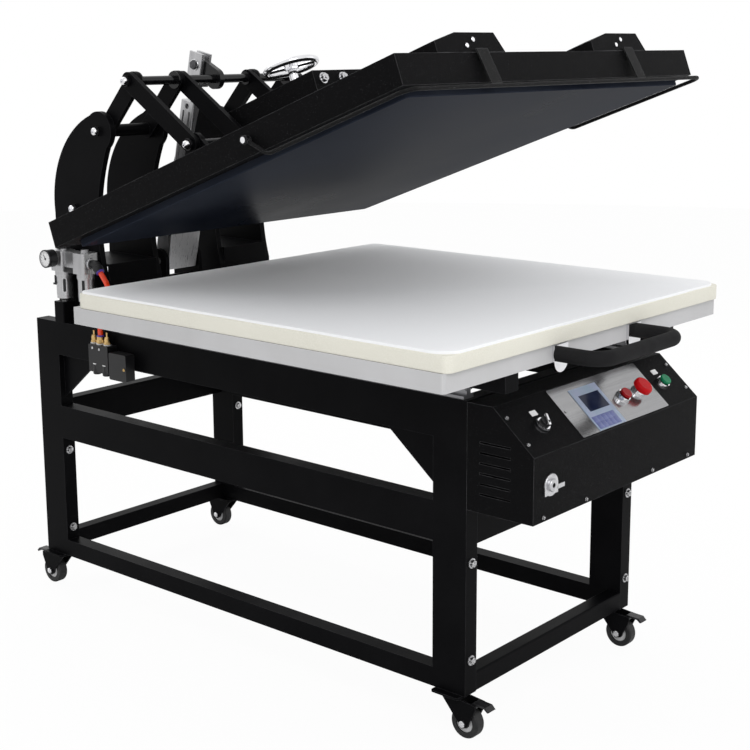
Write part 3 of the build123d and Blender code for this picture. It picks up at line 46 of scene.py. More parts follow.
def placeFrom(origin, xDir, zDir):
    xDir = Vector(xDir).normalized()
    zDir = Vector(zDir).normalized()
    yDir = zDir.cross(xDir)
    m = Matrix.Identity(4)
    for column, v in enumerate((xDir, yDir, zDir, Vector(origin))):
        for row in range(3):
            m[row][column] = v[row]
    return m


# upper platen: x right, y back along the plate, z up from its lower face
onPlaten = placeFrom((0, 0.26038 + shift, 0.896993), (1, 0, 0), (0, math.sin(tilt), math.cos(tilt)))
# control slope: x right, y up the slope, z out of the panel
onSlope = placeFrom((0, -0.8 + shift, 0.592), (1, 0, 0), (0, -math.sin(slopeAngle), math.cos(slopeAngle)))


# shader groups
def newGroup(name, inputs, outputs):
    group = bpy.data.node_groups.new(name, "ShaderNodeTree")
    for label, kind, value in inputs:
        socket = group.interface.new_socket(name=label, in_out="INPUT", socket_type=kind)
        if value is not None:
            socket.default_value = value
    for label, kind in outputs:
        group.interface.new_socket(name=label, in_out="OUTPUT", socket_type=kind)
    return group, group.nodes.new("NodeGroupInput"), group.nodes.new("NodeGroupOutput")


def addNode(tree, kind, **values):
    node = tree.nodes.new(kind)
    for key, value in values.items():
        setattr(node, key, value)
    return node


def addNoise(tree, vector, scale, detail=3.0, roughness=0.55):
    n = addNode(tree, "ShaderNodeTexNoise")
    n.inputs["Detail"].default_value = detail
    n.inputs["Roughness"].default_value = roughness
    if isinstance(scale, (int, float)):
        n.inputs["Scale"].default_value = scale
    else:
        tree.links.new(scale, n.inputs["Scale"])
    tree.links.new(vector, n.inputs["Vector"])
    return n.outputs["Fac"]


def addRange(tree, value, low, high, outLow, outHigh):
    n = addNode(tree, "ShaderNodeMapRange")
    tree.links.new(value, n.inputs["Value"])
    for label, v in (("From Min", low), ("From Max", high), ("To Min", outLow), ("To Max", outHigh)):
        if isinstance(v, (int, float)):
            n.inputs[label].default_value = v
        else:
            tree.links.new(v, n.inputs[label])
    return n.outputs["Result"]


def addMix(tree, factor, colorA, colorB):
    n = addNode(tree, "ShaderNodeMix", data_type="RGBA")
    tree.links.new(factor, n.inputs[0])
    for index, c in ((6, colorA), (7, colorB)):
        if isinstance(c, tuple):
            n.inputs[index].default_value = c
        else:
            tree.links.new(c, n.inputs[index])
    return n.outputs[2]


# slow colour and gloss variation over a surface, with a fine grain
def makeSurfaceGroup():
    g, gin, gout = newGroup(
        "surfaceVariation",
        [("Color", "NodeSocketColor", (0.5, 0.5, 0.5, 1)), ("Shade", "NodeSocketColor", (0.4, 0.4, 0.4, 1)),
         ("Patch Scale", "NodeSocketFloat", 6.0), ("Grain Scale", "NodeSocketFloat", 900.0),
         ("Rough Low", "NodeSocketFloat", 0.35), ("Rough High", "NodeSocketFloat", 0.5)],
        [("Color", "NodeSocketColor"), ("Roughness", "NodeSocketFloat"), ("Height", "NodeSocketFloat")],
    )
    coords = addNode(g, "ShaderNodeTexCoord").outputs["Object"]
    patch = addNoise(g, coords, gin.outputs["Patch Scale"], 4.0)
    grain = addNoise(g, coords, gin.outputs["Grain Scale"], 2.0)
    g.links.new(addMix(g, addRange(g, patch, 0.35, 0.7, 0.0, 1.0), gin.outputs["Color"], gin.outputs["Shade"]),
                gout.inputs["Color"])
    g.links.new(addRange(g, patch, 0.3, 0.7, gin.outputs["Rough Low"], gin.outputs["Rough High"]),
                gout.inputs["Roughness"])
    g.links.new(grain, gout.inputs["Height"])
    return g


# sprayed textured powder coat: small rounded grains, with lighter specks painted into the colour as glints where light
# catches on them
def makeSpeckleGroup():
    g, gin, gout = newGroup(
        "powderGrainGlints",
        [("Color", "NodeSocketColor", (0.02, 0.02, 0.02, 1)), ("Speck", "NodeSocketColor", (0.2, 0.2, 0.2, 1)),
         ("Grain Scale", "NodeSocketFloat", 260.0), ("Speck Amount", "NodeSocketFloat", 0.64)],
        [("Color", "NodeSocketColor"), ("Roughness", "NodeSocketFloat"), ("Height", "NodeSocketFloat")],
    )
    coords = addNode(g, "ShaderNodeTexCoord").outputs["Object"]
    grain = addNoise(g, coords, gin.outputs["Grain Scale"], 3.0, 0.6)
    glintMask = addNode(g, "ShaderNodeMath", operation="GREATER_THAN")
    g.links.new(grain, glintMask.inputs[0])
    g.links.new(gin.outputs["Speck Amount"], glintMask.inputs[1])
    g.links.new(addMix(g, glintMask.outputs[0], gin.outputs["Color"], gin.outputs["Speck"]), gout.inputs["Color"])
    g.links.new(addRange(g, grain, 0.3, 0.7, 0.62, 0.38), gout.inputs["Roughness"])
    g.links.new(grain, gout.inputs["Height"])
    return g


# fine lines drawn along one direction, for brushed and turned metal
def makeBrushedGroup():
    g, gin, gout = newGroup(
        "brushedLines",
        [("Color", "NodeSocketColor", (0.7, 0.7, 0.7, 1)), ("Shade", "NodeSocketColor", (0.5, 0.5, 0.5, 1)),
         ("Stretch", "NodeSocketVector", (4.0, 600.0, 600.0)),
         ("Rough Low", "NodeSocketFloat", 0.25), ("Rough High", "NodeSocketFloat", 0.4)],
        [("Color", "NodeSocketColor"), ("Roughness", "NodeSocketFloat"), ("Height", "NodeSocketFloat")],
    )
    coords = addNode(g, "ShaderNodeTexCoord").outputs["Object"]
    stretched = addNode(g, "ShaderNodeVectorMath", operation="MULTIPLY")
    g.links.new(coords, stretched.inputs[0])
    g.links.new(gin.outputs["Stretch"], stretched.inputs[1])
    lines = addNoise(g, stretched.outputs[0], 1.0, 3.0)
    g.links.new(addMix(g, lines, gin.outputs["Color"], gin.outputs["Shade"]), gout.inputs["Color"])
    g.links.new(addRange(g, lines, 0.3, 0.7, gin.outputs["Rough Low"], gin.outputs["Rough High"]),
                gout.inputs["Roughness"])
    g.links.new(lines, gout.inputs["Height"])
    return g


# open pores of cut foam, or matted fibres at a finer scale; the Pore colour darkens the deep middle of each cell as
# painted shade in the hollows
def makePoreGroup():
    g, gin, gout = newGroup(
        "softPores",
        [("Color", "NodeSocketColor", (0.8, 0.8, 0.8, 1)), ("Pore", "NodeSocketColor", (0.6, 0.6, 0.6, 1)),
         ("Pore Scale", "NodeSocketFloat", 500.0), ("Patch Scale", "NodeSocketFloat", 5.0)],
        [("Color", "NodeSocketColor"), ("Roughness", "NodeSocketFloat"), ("Height", "NodeSocketFloat")],
    )
    coords = addNode(g, "ShaderNodeTexCoord").outputs["Object"]
    cells = addNode(g, "ShaderNodeTexVoronoi")
    g.links.new(coords, cells.inputs["Vector"])
    g.links.new(gin.outputs["Pore Scale"], cells.inputs["Scale"])
    patch = addNoise(g, coords, gin.outputs["Patch Scale"], 3.0)
    # painted shade: darker towards the bottom of each pore
    depth = addRange(g, cells.outputs["Distance"], 0.0, 0.7, 1.0, 0.0)
    poreShade = addNode(g, "ShaderNodeMath", operation="MULTIPLY")
    g.links.new(depth, poreShade.inputs[0])
    g.links.new(patch, poreShade.inputs[1])
    g.links.new(addMix(g, poreShade.outputs[0], gin.outputs["Color"], gin.outputs["Pore"]), gout.inputs["Color"])
    g.links.new(addRange(g, patch, 0.3, 0.7, 0.85, 0.97), gout.inputs["Roughness"])
    g.links.new(cells.outputs["Distance"], gout.inputs["Height"])
    return g


# painted highlight: a thin lighter line where two faces meet, standing in for light caught on the edge, broken up a
# little along its length
def makeEdgeGroup():
    g, gin, gout = newGroup(
        "edgeHighlight",
        [("Color", "NodeSocketColor", (0.01, 0.01, 0.01, 1)), ("Edge", "NodeSocketColor", (0.06, 0.06, 0.06, 1)),
         ("Radius", "NodeSocketFloat", 0.0012)],
        [("Color", "NodeSocketColor")],
    )
    rounded = addNode(g, "ShaderNodeBevel", samples=4)
    g.links.new(gin.outputs["Radius"], rounded.inputs["Radius"])
    facing = addNode(g, "ShaderNodeVectorMath", operation="DOT_PRODUCT")
    g.links.new(rounded.outputs["Normal"], facing.inputs[0])
    g.links.new(addNode(g, "ShaderNodeNewGeometry").outputs["Normal"], facing.inputs[1])
    near = addRange(g, facing.outputs["Value"], 0.985, 0.86, 0.0, 1.0)
    coords = addNode(g, "ShaderNodeTexCoord").outputs["Object"]
    broken = addRange(g, addNoise(g, coords, 28.0, 4.0), 0.35, 0.6, 0.35, 1.0)
    amount = addNode(g, "ShaderNodeMath", operation="MULTIPLY")
    g.links.new(near, amount.inputs[0])
    g.links.new(broken, amount.inputs[1])
    g.links.new(addMix(g, amount.outputs[0], gin.outputs["Color"], gin.outputs["Edge"]), gout.inputs["Color"])
    return g


surfaceVariation = makeSurfaceGroup()
edgeHighlight = makeEdgeGroup()
powderGrainGlints = makeSpeckleGroup()
brushedLines = makeBrushedGroup()
softPores = makePoreGroup()


def finish(name, group, inputs, bump=0.1, bumpDistance=0.0004, edge=None, **shaderValues):
    mat = bpy.data.materials.new(name)
    mat.use_nodes = True
    tree = mat.node_tree
    shader = tree.nodes["Principled BSDF"]
    for label, value in shaderValues.items():
        shader.inputs[label.replace("_", " ")].default_value = value
    g = tree.nodes.new("ShaderNodeGroup")
    g.node_tree = group
    for label, value in inputs.items():
        g.inputs[label].default_value = value
    color = g.outputs["Color"]
    # the edge colour is a painted highlight laid along the edges
    if edge:
        edgeLit = tree.nodes.new("ShaderNodeGroup")
        edgeLit.node_tree = edgeHighlight
        edgeLit.inputs["Edge"].default_value = edge
        tree.links.new(color, edgeLit.inputs["Color"])
        color = edgeLit.outputs["Color"]
    tree.links.new(color, shader.inputs["Base Color"])
    tree.links.new(g.outputs["Roughness"], shader.inputs["Roughness"])
    if bump:
        b = tree.nodes.new("ShaderNodeBump")
        b.inputs["Strength"].default_value = bump
        b.inputs["Distance"].default_value = bumpDistance
        tree.links.new(g.outputs["Height"], b.inputs["Height"])
        tree.links.new(b.outputs["Normal"], shader.inputs["Normal"])
    mat.diffuse_color = inputs["Color"]
    return mat


def rgb(r, g, b):
    return (r, g, b, 1.0)


# edge= on these finishes is the colour of a painted highlight along their edges
satinBlack = finish("satinBlack", surfaceVariation,
                    {"Color": rgb(0.0026, 0.0026, 0.0031), "Shade": rgb(0.0042, 0.0042, 0.0048), "Patch Scale": 9.0,
                     "Grain Scale": 1400.0, "Rough Low": 0.32, "Rough High": 0.44}, bump=0.12,
                    edge=rgb(0.05, 0.05, 0.054), Specular_IOR_Level=0.03)
# the Speck colours of the textured blacks are painted glints
texturedBlack = finish("texturedBlack", powderGrainGlints,
                       {"Color": rgb(0.0032, 0.0032, 0.0036), "Speck": rgb(0.09, 0.09, 0.095),
                        "Grain Scale": 560.0, "Speck Amount": 0.7}, bump=0.7, bumpDistance=0.0007,
                       edge=rgb(0.12, 0.12, 0.125), Specular_IOR_Level=0.035)
barBlack = finish("barBlack", powderGrainGlints,
                  {"Color": rgb(0.003, 0.003, 0.0034), "Speck": rgb(0.24, 0.24, 0.25),
                   "Grain Scale": 640.0, "Speck Amount": 0.69}, bump=0.6, bumpDistance=0.0006,
                  edge=rgb(0.14, 0.14, 0.145), Specular_IOR_Level=0.1)
glossBlack = finish("glossBlack", surfaceVariation,
                    {"Color": rgb(0.0035, 0.0035, 0.004), "Shade": rgb(0.006, 0.006, 0.007), "Patch Scale": 60.0,
                     "Grain Scale": 420.0, "Rough Low": 0.1, "Rough High": 0.24}, bump=0.35,
                    Specular_IOR_Level=0.3)
# the heating plate's lighter Shade patches are painted sheen: soft reflections laid into the dark coating's colour
plateCoatingAndSheen = finish("plateCoatingAndSheen", surfaceVariation,
                      {"Color": rgb(0.006, 0.008, 0.0145), "Shade": rgb(0.026, 0.03, 0.04), "Patch Scale": 1.9,
                       "Grain Scale": 700.0, "Rough Low": 0.24, "Rough High": 0.36}, bump=0.04,
                      edge=rgb(0.05, 0.06, 0.09), Specular_IOR_Level=0.0025)
trayGrey = finish("trayGrey", surfaceVariation,
                  {"Color": rgb(0.55, 0.55, 0.56), "Shade": rgb(0.49, 0.49, 0.495), "Patch Scale": 5.0,
                   "Grain Scale": 900.0, "Rough Low": 0.4, "Rough High": 0.52}, bump=0.06,
                  edge=rgb(0.72, 0.72, 0.73), Specular_IOR_Level=0.3)
platedSteel = finish("platedSteel", surfaceVariation,
                     {"Color": rgb(0.66, 0.66, 0.67), "Shade": rgb(0.5, 0.5, 0.52), "Patch Scale": 40.0,
                      "Grain Scale": 1500.0, "Rough Low": 0.2, "Rough High": 0.36}, bump=0.05, Metallic=1.0)
boltSteel = finish("boltSteel", surfaceVariation,
                   {"Color": rgb(0.66, 0.66, 0.67), "Shade": rgb(0.32, 0.32, 0.33), "Patch Scale": 170.0,
                    "Grain Scale": 1500.0, "Rough Low": 0.2, "Rough High": 0.36}, bump=0.08, Metallic=1.0)
darkSteel = finish("darkSteel", surfaceVariation,
                   {"Color": rgb(0.1, 0.1, 0.105), "Shade": rgb(0.05, 0.05, 0.055), "Patch Scale": 90.0,
                    "Grain Scale": 1500.0, "Rough Low": 0.25, "Rough High": 0.42}, bump=0.1,
                   edge=rgb(0.3, 0.3, 0.31), Metallic=1.0)
railSteel = finish("railSteel", brushedLines,
                   {"Color": rgb(0.3, 0.3, 0.31), "Shade": rgb(0.18, 0.18, 0.19),
                    "Stretch": (900.0, 4.0, 900.0), "Rough Low": 0.28, "Rough High": 0.42},
                   bump=0.06, Metallic=1.0)
chromeTrim = finish("chromeTrim", surfaceVariation,
                    {"Color": rgb(0.84, 0.84, 0.86), "Shade": rgb(0.74, 0.74, 0.76), "Patch Scale": 30.0,
                     "Grain Scale": 500.0, "Rough Low": 0.05, "Rough High": 0.12}, bump=0.0, Metallic=1.0)
castAluminium = finish("castAluminium", brushedLines,
                       {"Color": rgb(0.56, 0.56, 0.57), "Shade": rgb(0.36, 0.36, 0.37),
                        "Stretch": (400.0, 120.0, 9.0), "Rough Low": 0.24, "Rough High": 0.42},
                       bump=0.12, edge=rgb(0.8, 0.8, 0.81), Metallic=0.9)
brushedPanel = finish("brushedPanel", brushedLines,
                      {"Color": rgb(0.4, 0.4, 0.405), "Shade": rgb(0.24, 0.24, 0.25),
                       "Stretch": (5.0, 900.0, 900.0), "Rough Low": 0.13, "Rough High": 0.22},
                      bump=0.08, Metallic=0.9)
blackPlastic = finish("blackPlastic", surfaceVariation,
                      {"Color": rgb(0.007, 0.007, 0.008), "Shade": rgb(0.012, 0.012, 0.013), "Patch Scale": 30.0,
                       "Grain Scale": 1800.0, "Rough Low": 0.34, "Rough High": 0.5}, bump=0.12,
                      edge=rgb(0.035, 0.035, 0.04), Specular_IOR_Level=0.35)
wheelBlack = finish("wheelBlack", surfaceVariation,
                    {"Color": rgb(0.008, 0.008, 0.009), "Shade": rgb(0.018, 0.018, 0.018), "Patch Scale": 60.0,
                     "Grain Scale": 1200.0, "Rough Low": 0.45, "Rough High": 0.62}, bump=0.1,
                    Specular_IOR_Level=0.35)
orangeTube = finish("orangeTube", surfaceVariation,
                    {"Color": rgb(0.9, 0.06, 0.012), "Shade": rgb(0.8, 0.05, 0.01), "Patch Scale": 30.0,
                     "Grain Scale": 900.0, "Rough Low": 0.2, "Rough High": 0.3}, bump=0.03)
brassParts = finish("brassParts", surfaceVariation,
                    {"Color": rgb(0.72, 0.5, 0.22), "Shade": rgb(0.5, 0.33, 0.13), "Patch Scale": 60.0,
                     "Grain Scale": 1800.0, "Rough Low": 0.25, "Rough High": 0.42}, bump=0.3, Metallic=1.0)
redPlastic = finish("redPlastic", surfaceVariation,
                    {"Color": rgb(0.5, 0.006, 0.01), "Shade": rgb(0.42, 0.005, 0.008), "Patch Scale": 30.0,
                     "Grain Scale": 900.0, "Rough Low": 0.16, "Rough High": 0.26}, bump=0.02,
                    Specular_IOR_Level=0.08)
darkRedPlastic = finish("darkRedPlastic", surfaceVariation,
                        {"Color": rgb(0.34, 0.004, 0.008), "Shade": rgb(0.24, 0.003, 0.006), "Patch Scale": 30.0,
                         "Grain Scale": 900.0, "Rough Low": 0.16, "Rough High": 0.26}, bump=0.02,
                        Specular_IOR_Level=0.16)
greenPlastic = finish("greenPlastic", surfaceVariation,
                      {"Color": rgb(0.006, 0.22, 0.09), "Shade": rgb(0.005, 0.16, 0.07), "Patch Scale": 30.0,
                       "Grain Scale": 900.0, "Rough Low": 0.16, "Rough High": 0.26}, bump=0.02,
                      Specular_IOR_Level=0.16)
# the Pore colours below are painted shade in the hollows of the pores and fibres
creamFoam = finish("creamFoam", softPores,
                   {"Color": rgb(0.78, 0.765, 0.685), "Pore": rgb(0.6, 0.585, 0.49), "Pore Scale": 620.0,
                    "Patch Scale": 7.0}, bump=0.35, bumpDistance=0.0006, Specular_IOR_Level=0.2)
whiteFelt = finish("whiteFelt", softPores,
                   {"Color": rgb(0.91, 0.92, 0.94), "Pore": rgb(0.84, 0.85, 0.87), "Pore Scale": 900.0,
                    "Patch Scale": 4.0}, bump=0.18, bumpDistance=0.0004, Specular_IOR_Level=0.2,
                   Sheen_Weight=0.25)
blackFoam = finish("blackFoam", softPores,
                   {"Color": rgb(0.009, 0.009, 0.01), "Pore": rgb(0.004, 0.004, 0.004), "Pore Scale": 900.0,
                    "Patch Scale": 20.0}, bump=0.3, bumpDistance=0.0004, Specular_IOR_Level=0.25)
whitePlastic = finish("whitePlastic", surfaceVariation,
                      {"Color": rgb(0.78, 0.78, 0.78), "Shade": rgb(0.72, 0.72, 0.73), "Patch Scale": 30.0,
                       "Grain Scale": 900.0, "Rough Low": 0.3, "Rough High": 0.45}, bump=0.03)
membraneBlue = finish("membraneBlue", surfaceVariation,
                      {"Color": rgb(0.25, 0.33, 0.42), "Shade": rgb(0.31, 0.34, 0.48), "Patch Scale": 26.0,
                       "Grain Scale": 1800.0, "Rough Low": 0.3, "Rough High": 0.4}, bump=0.06)
displayBlue = finish("displayBlue", surfaceVariation,
                     {"Color": rgb(0.008, 0.012, 0.035), "Shade": rgb(0.012, 0.018, 0.045), "Patch Scale": 40.0,
                      "Grain Scale": 900.0, "Rough Low": 0.1, "Rough High": 0.18}, bump=0.0,
                     Specular_IOR_Level=0.2)
keyBlue = finish("keyBlue", surfaceVariation,
                 {"Color": rgb(0.12, 0.145, 0.33), "Shade": rgb(0.09, 0.11, 0.26), "Patch Scale": 60.0,
                  "Grain Scale": 1800.0, "Rough Low": 0.3, "Rough High": 0.4}, bump=0.05)
smokedWindow = finish("smokedWindow", surfaceVariation,
                      {"Color": rgb(0.012, 0.013, 0.014), "Shade": rgb(0.02, 0.021, 0.023), "Patch Scale": 40.0,
                       "Grain Scale": 900.0, "Rough Low": 0.12, "Rough High": 0.22}, bump=0.02,
                      Specular_IOR_Level=0.3)
purpleCollet = finish("purpleCollet", surfaceVariation,
                      {"Color": rgb(0.1, 0.05, 0.4), "Shade": rgb(0.08, 0.04, 0.3), "Patch Scale": 60.0,
                       "Grain Scale": 900.0, "Rough Low": 0.25, "Rough High": 0.35}, bump=0.02)
print("materials made:", len(bpy.data.materials))

# finishes of the CAD nodes
nodeFinish = {
    "platen_housing": texturedBlack, "platen_bridge": texturedBlack, "control_box": texturedBlack,
    "switch_box_left": texturedBlack, "switch_box_right": texturedBlack, "heating_plate": plateCoatingAndSheen,
    "tray": trayGrey, "slide_rail_left": railSteel, "slide_rail_right": railSteel,
    "platen_shaft": glossBlack, "knee_shaft": glossBlack, "safety_bar": barBlack,
    "handle_bar": chromeTrim, "handwheel": chromeTrim,
    "cylinder_barrel": castAluminium, "cylinder_rod": castAluminium, "control_panel": brushedPanel,
    "control_bezels": chromeTrim, "red_button": darkRedPlastic, "green_button": greenPlastic,
    "stop_button": redPlastic, "selector": blackPlastic, "supply_unit": castAluminium,
    "supply_knob": blackPlastic, "valve_body": blackPlastic, "valve_fittings": brassParts,
    "air_tube": orangeTube, "foam_pad": creamFoam, "felt_cover": whiteFelt, "handle_grip": blackFoam,
}
for name, obj in nodes.items():
    chosen = nodeFinish.get(name, satinBlack)
    if name.startswith("caster_wheel"):
        chosen = wheelBlack
    if name.startswith("brake_pedal"):
        chosen = blackPlastic
    obj.data.materials.clear()
    obj.data.materials.append(chosen)
print("CAD nodes finished")


# helpers for new pieces
def makePiece(name, bm, material, body, smooth=True, angle=35):
    bmesh.ops.remove_doubles(bm, verts=bm.verts, dist=0.000002)
    bmesh.ops.recalc_face_normals(bm, faces=bm.faces)
    for face in bm.faces:
        face.smooth = smooth
    for edge in bm.edges:
        if len(edge.link_faces) == 2 and edge.calc_face_angle(0) > math.radians(angle):
            edge.smooth = False
    mesh = bpy.data.meshes.new(name)
    bm.to_mesh(mesh)
    bm.free()
    obj = bpy.data.objects.new(name, mesh)
    bpy.context.scene.collection.objects.link(obj)
    mesh.materials.append(material)
    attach(obj, body)
    return obj


def bevelEdges(bm, edges, width, segments=2):
    bmesh.ops.bevel(bm, geom=list(edges), offset=width, offset_type="OFFSET", segments=segments,
                    profile=0.5, affect="EDGES", material=-1)


# a turned shape: the profile is a row of (radius, height) points spun round local z
def addTurned(bm, place, profile, segments=40):
    verts = [bm.verts.new(place @ Vector((radius, 0, height))) for radius, height in profile]
    chain = [bm.edges.new(pair) for pair in zip(verts, verts[1:])]
    axis = (place.to_3x3() @ Vector((0, 0, 1))).normalized()
    bmesh.ops.spin(bm, geom=verts + chain, cent=place.translation, axis=axis, angle=2 * math.pi,
                   steps=segments, use_merge=True, use_duplicate=False)


# a round or hexagonal plug standing on local z = 0
def addPlug(bm, place, radius, height, segments=32, bevel=0.0, lift=0.0, topRadius=None):
    made = bmesh.ops.create_cone(bm, cap_ends=True, segments=segments, radius1=radius,
                                 radius2=radius if topRadius is None else topRadius, depth=height,
                                 matrix=place @ Matrix.Translation((0, 0, lift + height / 2)))
    verts = set(made["verts"])
    if bevel:
        top = (place @ Vector((0, 0, lift + height)))
        up = (place.to_3x3() @ Vector((0, 0, 1))).normalized()
        rim = [e for e in bm.edges if e.verts[0] in verts and e.verts[1] in verts
               and all(abs((v.co - top).dot(up)) < 1e-6 for v in e.verts)]
        bevelEdges(bm, rim, bevel)
    return verts


def addBolt(bm, place, size):
    addPlug(bm, place, size["washer"], size["washerThick"], 36, 0.0003)
    addPlug(bm, place, size["head"], size["headHigh"], 6, 0.0008, size["washerThick"])
    addPlug(bm, place, size["head"] * 0.42, size["headHigh"] * 0.35, 20, 0.0004,
            size["washerThick"] + size["headHigh"])


def addBlock(bm, place, sx, sy, sz, bevel=0.0, segments=2):
    made = bmesh.ops.create_cube(bm, size=1.0, matrix=place @ Matrix.Diagonal((sx, sy, sz, 1)))
    verts = set(made["verts"])
    if bevel:
        bevelEdges(bm, [e for e in bm.edges if e.verts[0] in verts and e.verts[1] in verts], bevel, segments)
    return verts


# foam pad
padFoam = {"width": 0.966, "length": 0.998, "front": -0.7465 + shift, "low": 0.7695, "high": 0.8014,
           "corner": 0.016, "rim": 0.0025, "crown": 0.0012, "wave": 0.0006, "cuts": 40}
bm = bmesh.new()
addBlock(bm, Matrix.Translation((0, padFoam["front"] + padFoam["length"] / 2, (padFoam["low"] + padFoam["high"]) / 2)),
         padFoam["width"], padFoam["length"], padFoam["high"] - padFoam["low"])
uprights = [e for e in bm.edges if abs(e.verts[0].co.z - e.verts[1].co.z) > 0.01]
bevelEdges(bm, uprights, padFoam["corner"], 8)
levels = [e for e in bm.edges if abs(e.verts[0].co.z - e.verts[1].co.z) < 1e-6]
bevelEdges(bm, levels, padFoam["rim"], 3)
longEdges = [e for e in bm.edges if e.calc_length() > 0.5]
bmesh.ops.subdivide_edges(bm, edges=longEdges, cuts=padFoam["cuts"], use_grid_fill=True)
middle = (padFoam["low"] + padFoam["high"]) / 2
for v in bm.verts:
    side = 1 - abs(v.co.z - middle) / (padFoam["high"] - middle)
    wave = noise.noise(Vector((v.co.x * 5, v.co.y * 5, v.co.z * 20))) * padFoam["wave"]
    out = Vector((v.co.x, v.co.y - padFoam["front"] - padFoam["length"] / 2, 0)).normalized()
    onSide = abs(v.co.x) > padFoam["width"] / 2 - 0.003 or v.co.y < padFoam["front"] + 0.003 \
        or v.co.y > padFoam["front"] + padFoam["length"] - 0.003
    if onSide:
        v.co += out * (side * -padFoam["crown"] + wave)
foamPad = makePiece("foamPad", bm, creamFoam, "drawer", angle=50)
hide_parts("foam_pad")

# felt cover
feltTop = {"width": 0.96, "length": 0.992, "front": -0.7445 + shift, "low": 0.8012, "high": 0.8068,
           "corner": 0.04, "backCorner": 0.015, "rim": 0.0022, "cuts": 60, "wave": 0.0024,
           "topWave": 0.0003, "settle": 0.0002}
bm = bmesh.new()
addBlock(bm, Matrix.Translation((0, feltTop["front"] + feltTop["length"] / 2, (feltTop["low"] + feltTop["high"]) / 2)),
         feltTop["width"], feltTop["length"], feltTop["high"] - feltTop["low"])
for isBack, corner in ((False, feltTop["corner"]), (True, feltTop["backCorner"])):
    uprights = [e for e in bm.edges if abs(e.verts[0].co.z - e.verts[1].co.z) > 0.002
                and e.calc_length() < 0.01 and len(e.link_faces) == 2 and e.calc_face_angle() > 1.5
                and (e.verts[0].co.y > feltTop["front"] + feltTop["length"] / 2) == isBack]
    bevelEdges(bm, uprights, corner, 10)
rim = [e for e in bm.edges if all(v.co.z > feltTop["high"] - 1e-5 for v in e.verts)]
bevelEdges(bm, rim, feltTop["rim"], 3)
bmesh.ops.subdivide_edges(bm, edges=[e for e in bm.edges if e.calc_length() > 0.5], cuts=feltTop["cuts"],
                          use_grid_fill=True)
for v in bm.verts:
    away = Vector((v.co.x, v.co.y - feltTop["front"] - feltTop["length"] / 2, 0))
    edgeNear = max(abs(away.x) / (feltTop["width"] / 2), abs(away.y) / (feltTop["length"] / 2))
    if edgeNear > 0.985:
        v.co += away.normalized() * noise.noise(Vector((v.co.x * 9, v.co.y * 9, 0.3))) * feltTop["wave"]
    if v.co.z > feltTop["high"] - 0.001:
        v.co.z += noise.noise(Vector((v.co.x * 6, v.co.y * 6, 2.0))) * feltTop["topWave"] - feltTop["settle"]
feltCover = makePiece("feltCover", bm, whiteFelt, "drawer", angle=60)
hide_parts("felt_cover")
print("pad and felt made")

# foam grip over the handle tube
grip = {"half": 0.145, "root": -0.744 + shift, "front": -0.84 + shift, "height": 0.75, "bend": 0.038,
        "outer": 0.015, "ring": 28, "steps": 12}
bm = bmesh.new()
start = placeFrom((-grip["half"], grip["root"], grip["height"]), (1, 0, 0), (0, -1, 0))
bmesh.ops.create_circle(bm, cap_ends=False, segments=grip["ring"], radius=grip["outer"], matrix=start)
ringEdges = [e for e in bm.edges]


def extrudeRing(bm, edges, offset):
    made = bmesh.ops.extrude_edge_only(bm, edges=edges)["geom"]
    verts = [g for g in made if isinstance(g, bmesh.types.BMVert)]
    bmesh.ops.translate(bm, verts=verts, vec=offset)
    return [g for g in made if isinstance(g, bmesh.types.BMEdge) and all(v in verts for v in g.verts)]


def turnRing(bm, edges, centre, axis, angle, steps):
    made = bmesh.ops.spin(bm, geom=edges + list({v for e in edges for v in e.verts}), cent=centre, axis=axis,
                          angle=angle, steps=steps, use_duplicate=False)
    return [g for g in made["geom_last"] if isinstance(g, bmesh.types.BMEdge)]


for offset in (Vector((0, -0.004, 0)), Vector((0, grip["front"] + grip["bend"] - grip["root"] + 0.004, 0))):
    ringEdges = extrudeRing(bm, ringEdges, offset)
ringEdges = turnRing(bm, ringEdges, (-grip["half"] + grip["bend"], grip["front"] + grip["bend"], grip["height"]),
                     (0, 0, 1), math.pi / 2, grip["steps"])
for part in range(8):
    ringEdges = extrudeRing(bm, ringEdges, Vector(((2 * grip["half"] - 2 * grip["bend"]) / 8, 0, 0)))
ringEdges = turnRing(bm, ringEdges, (grip["half"] - grip["bend"], grip["front"] + grip["bend"], grip["height"]),
                     (0, 0, 1), math.pi / 2, grip["steps"])
for offset in (Vector((0, grip["root"] - grip["front"] - grip["bend"] - 0.004, 0)), Vector((0, 0.004, 0))):
    ringEdges = extrudeRing(bm, ringEdges, offset)
bmesh.ops.holes_fill(bm, edges=[e for e in bm.edges if len(e.link_faces) == 1], sides=0)
handleGrip = makePiece("handleGrip", bm, blackFoam, "drawer", angle=60)
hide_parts("handle_grip")
print("handle grip made")

# bright bolt heads on the frame and the linkage
frameBolt = {"washer": 0.0101, "washerThick": 0.0021, "head": 0.0074, "headHigh": 0.0055}
bridgeBolt = {"washer": 0.0122, "washerThick": 0.0024, "head": 0.0094, "headHigh": 0.0071}
pivotPin = {"radius": 0.0092, "reach": 0.0105, "socket": 0.0038, "washer": 0.0112}


# polished button head with a round socket
def addPivotPin(bm, place, size=pivotPin):
    r, h = size["radius"], size["reach"]
    profile = [(r, 0), (r, h * 0.42), (r * 0.94, h * 0.62), (r * 0.8, h * 0.8), (r * 0.6, h * 0.93),
               (size["socket"], h), (size["socket"] * 0.94, h * 0.62), (0, h * 0.58)]
    addTurned(bm, place, profile, 44)


def addWasher(bm, place, outer, inner, thick):
    profile = [(inner, 0), (inner, thick), (outer - thick * 0.3, thick), (outer, thick * 0.6), (outer, 0), (inner, 0)]
    addTurned(bm, place, profile, 44)


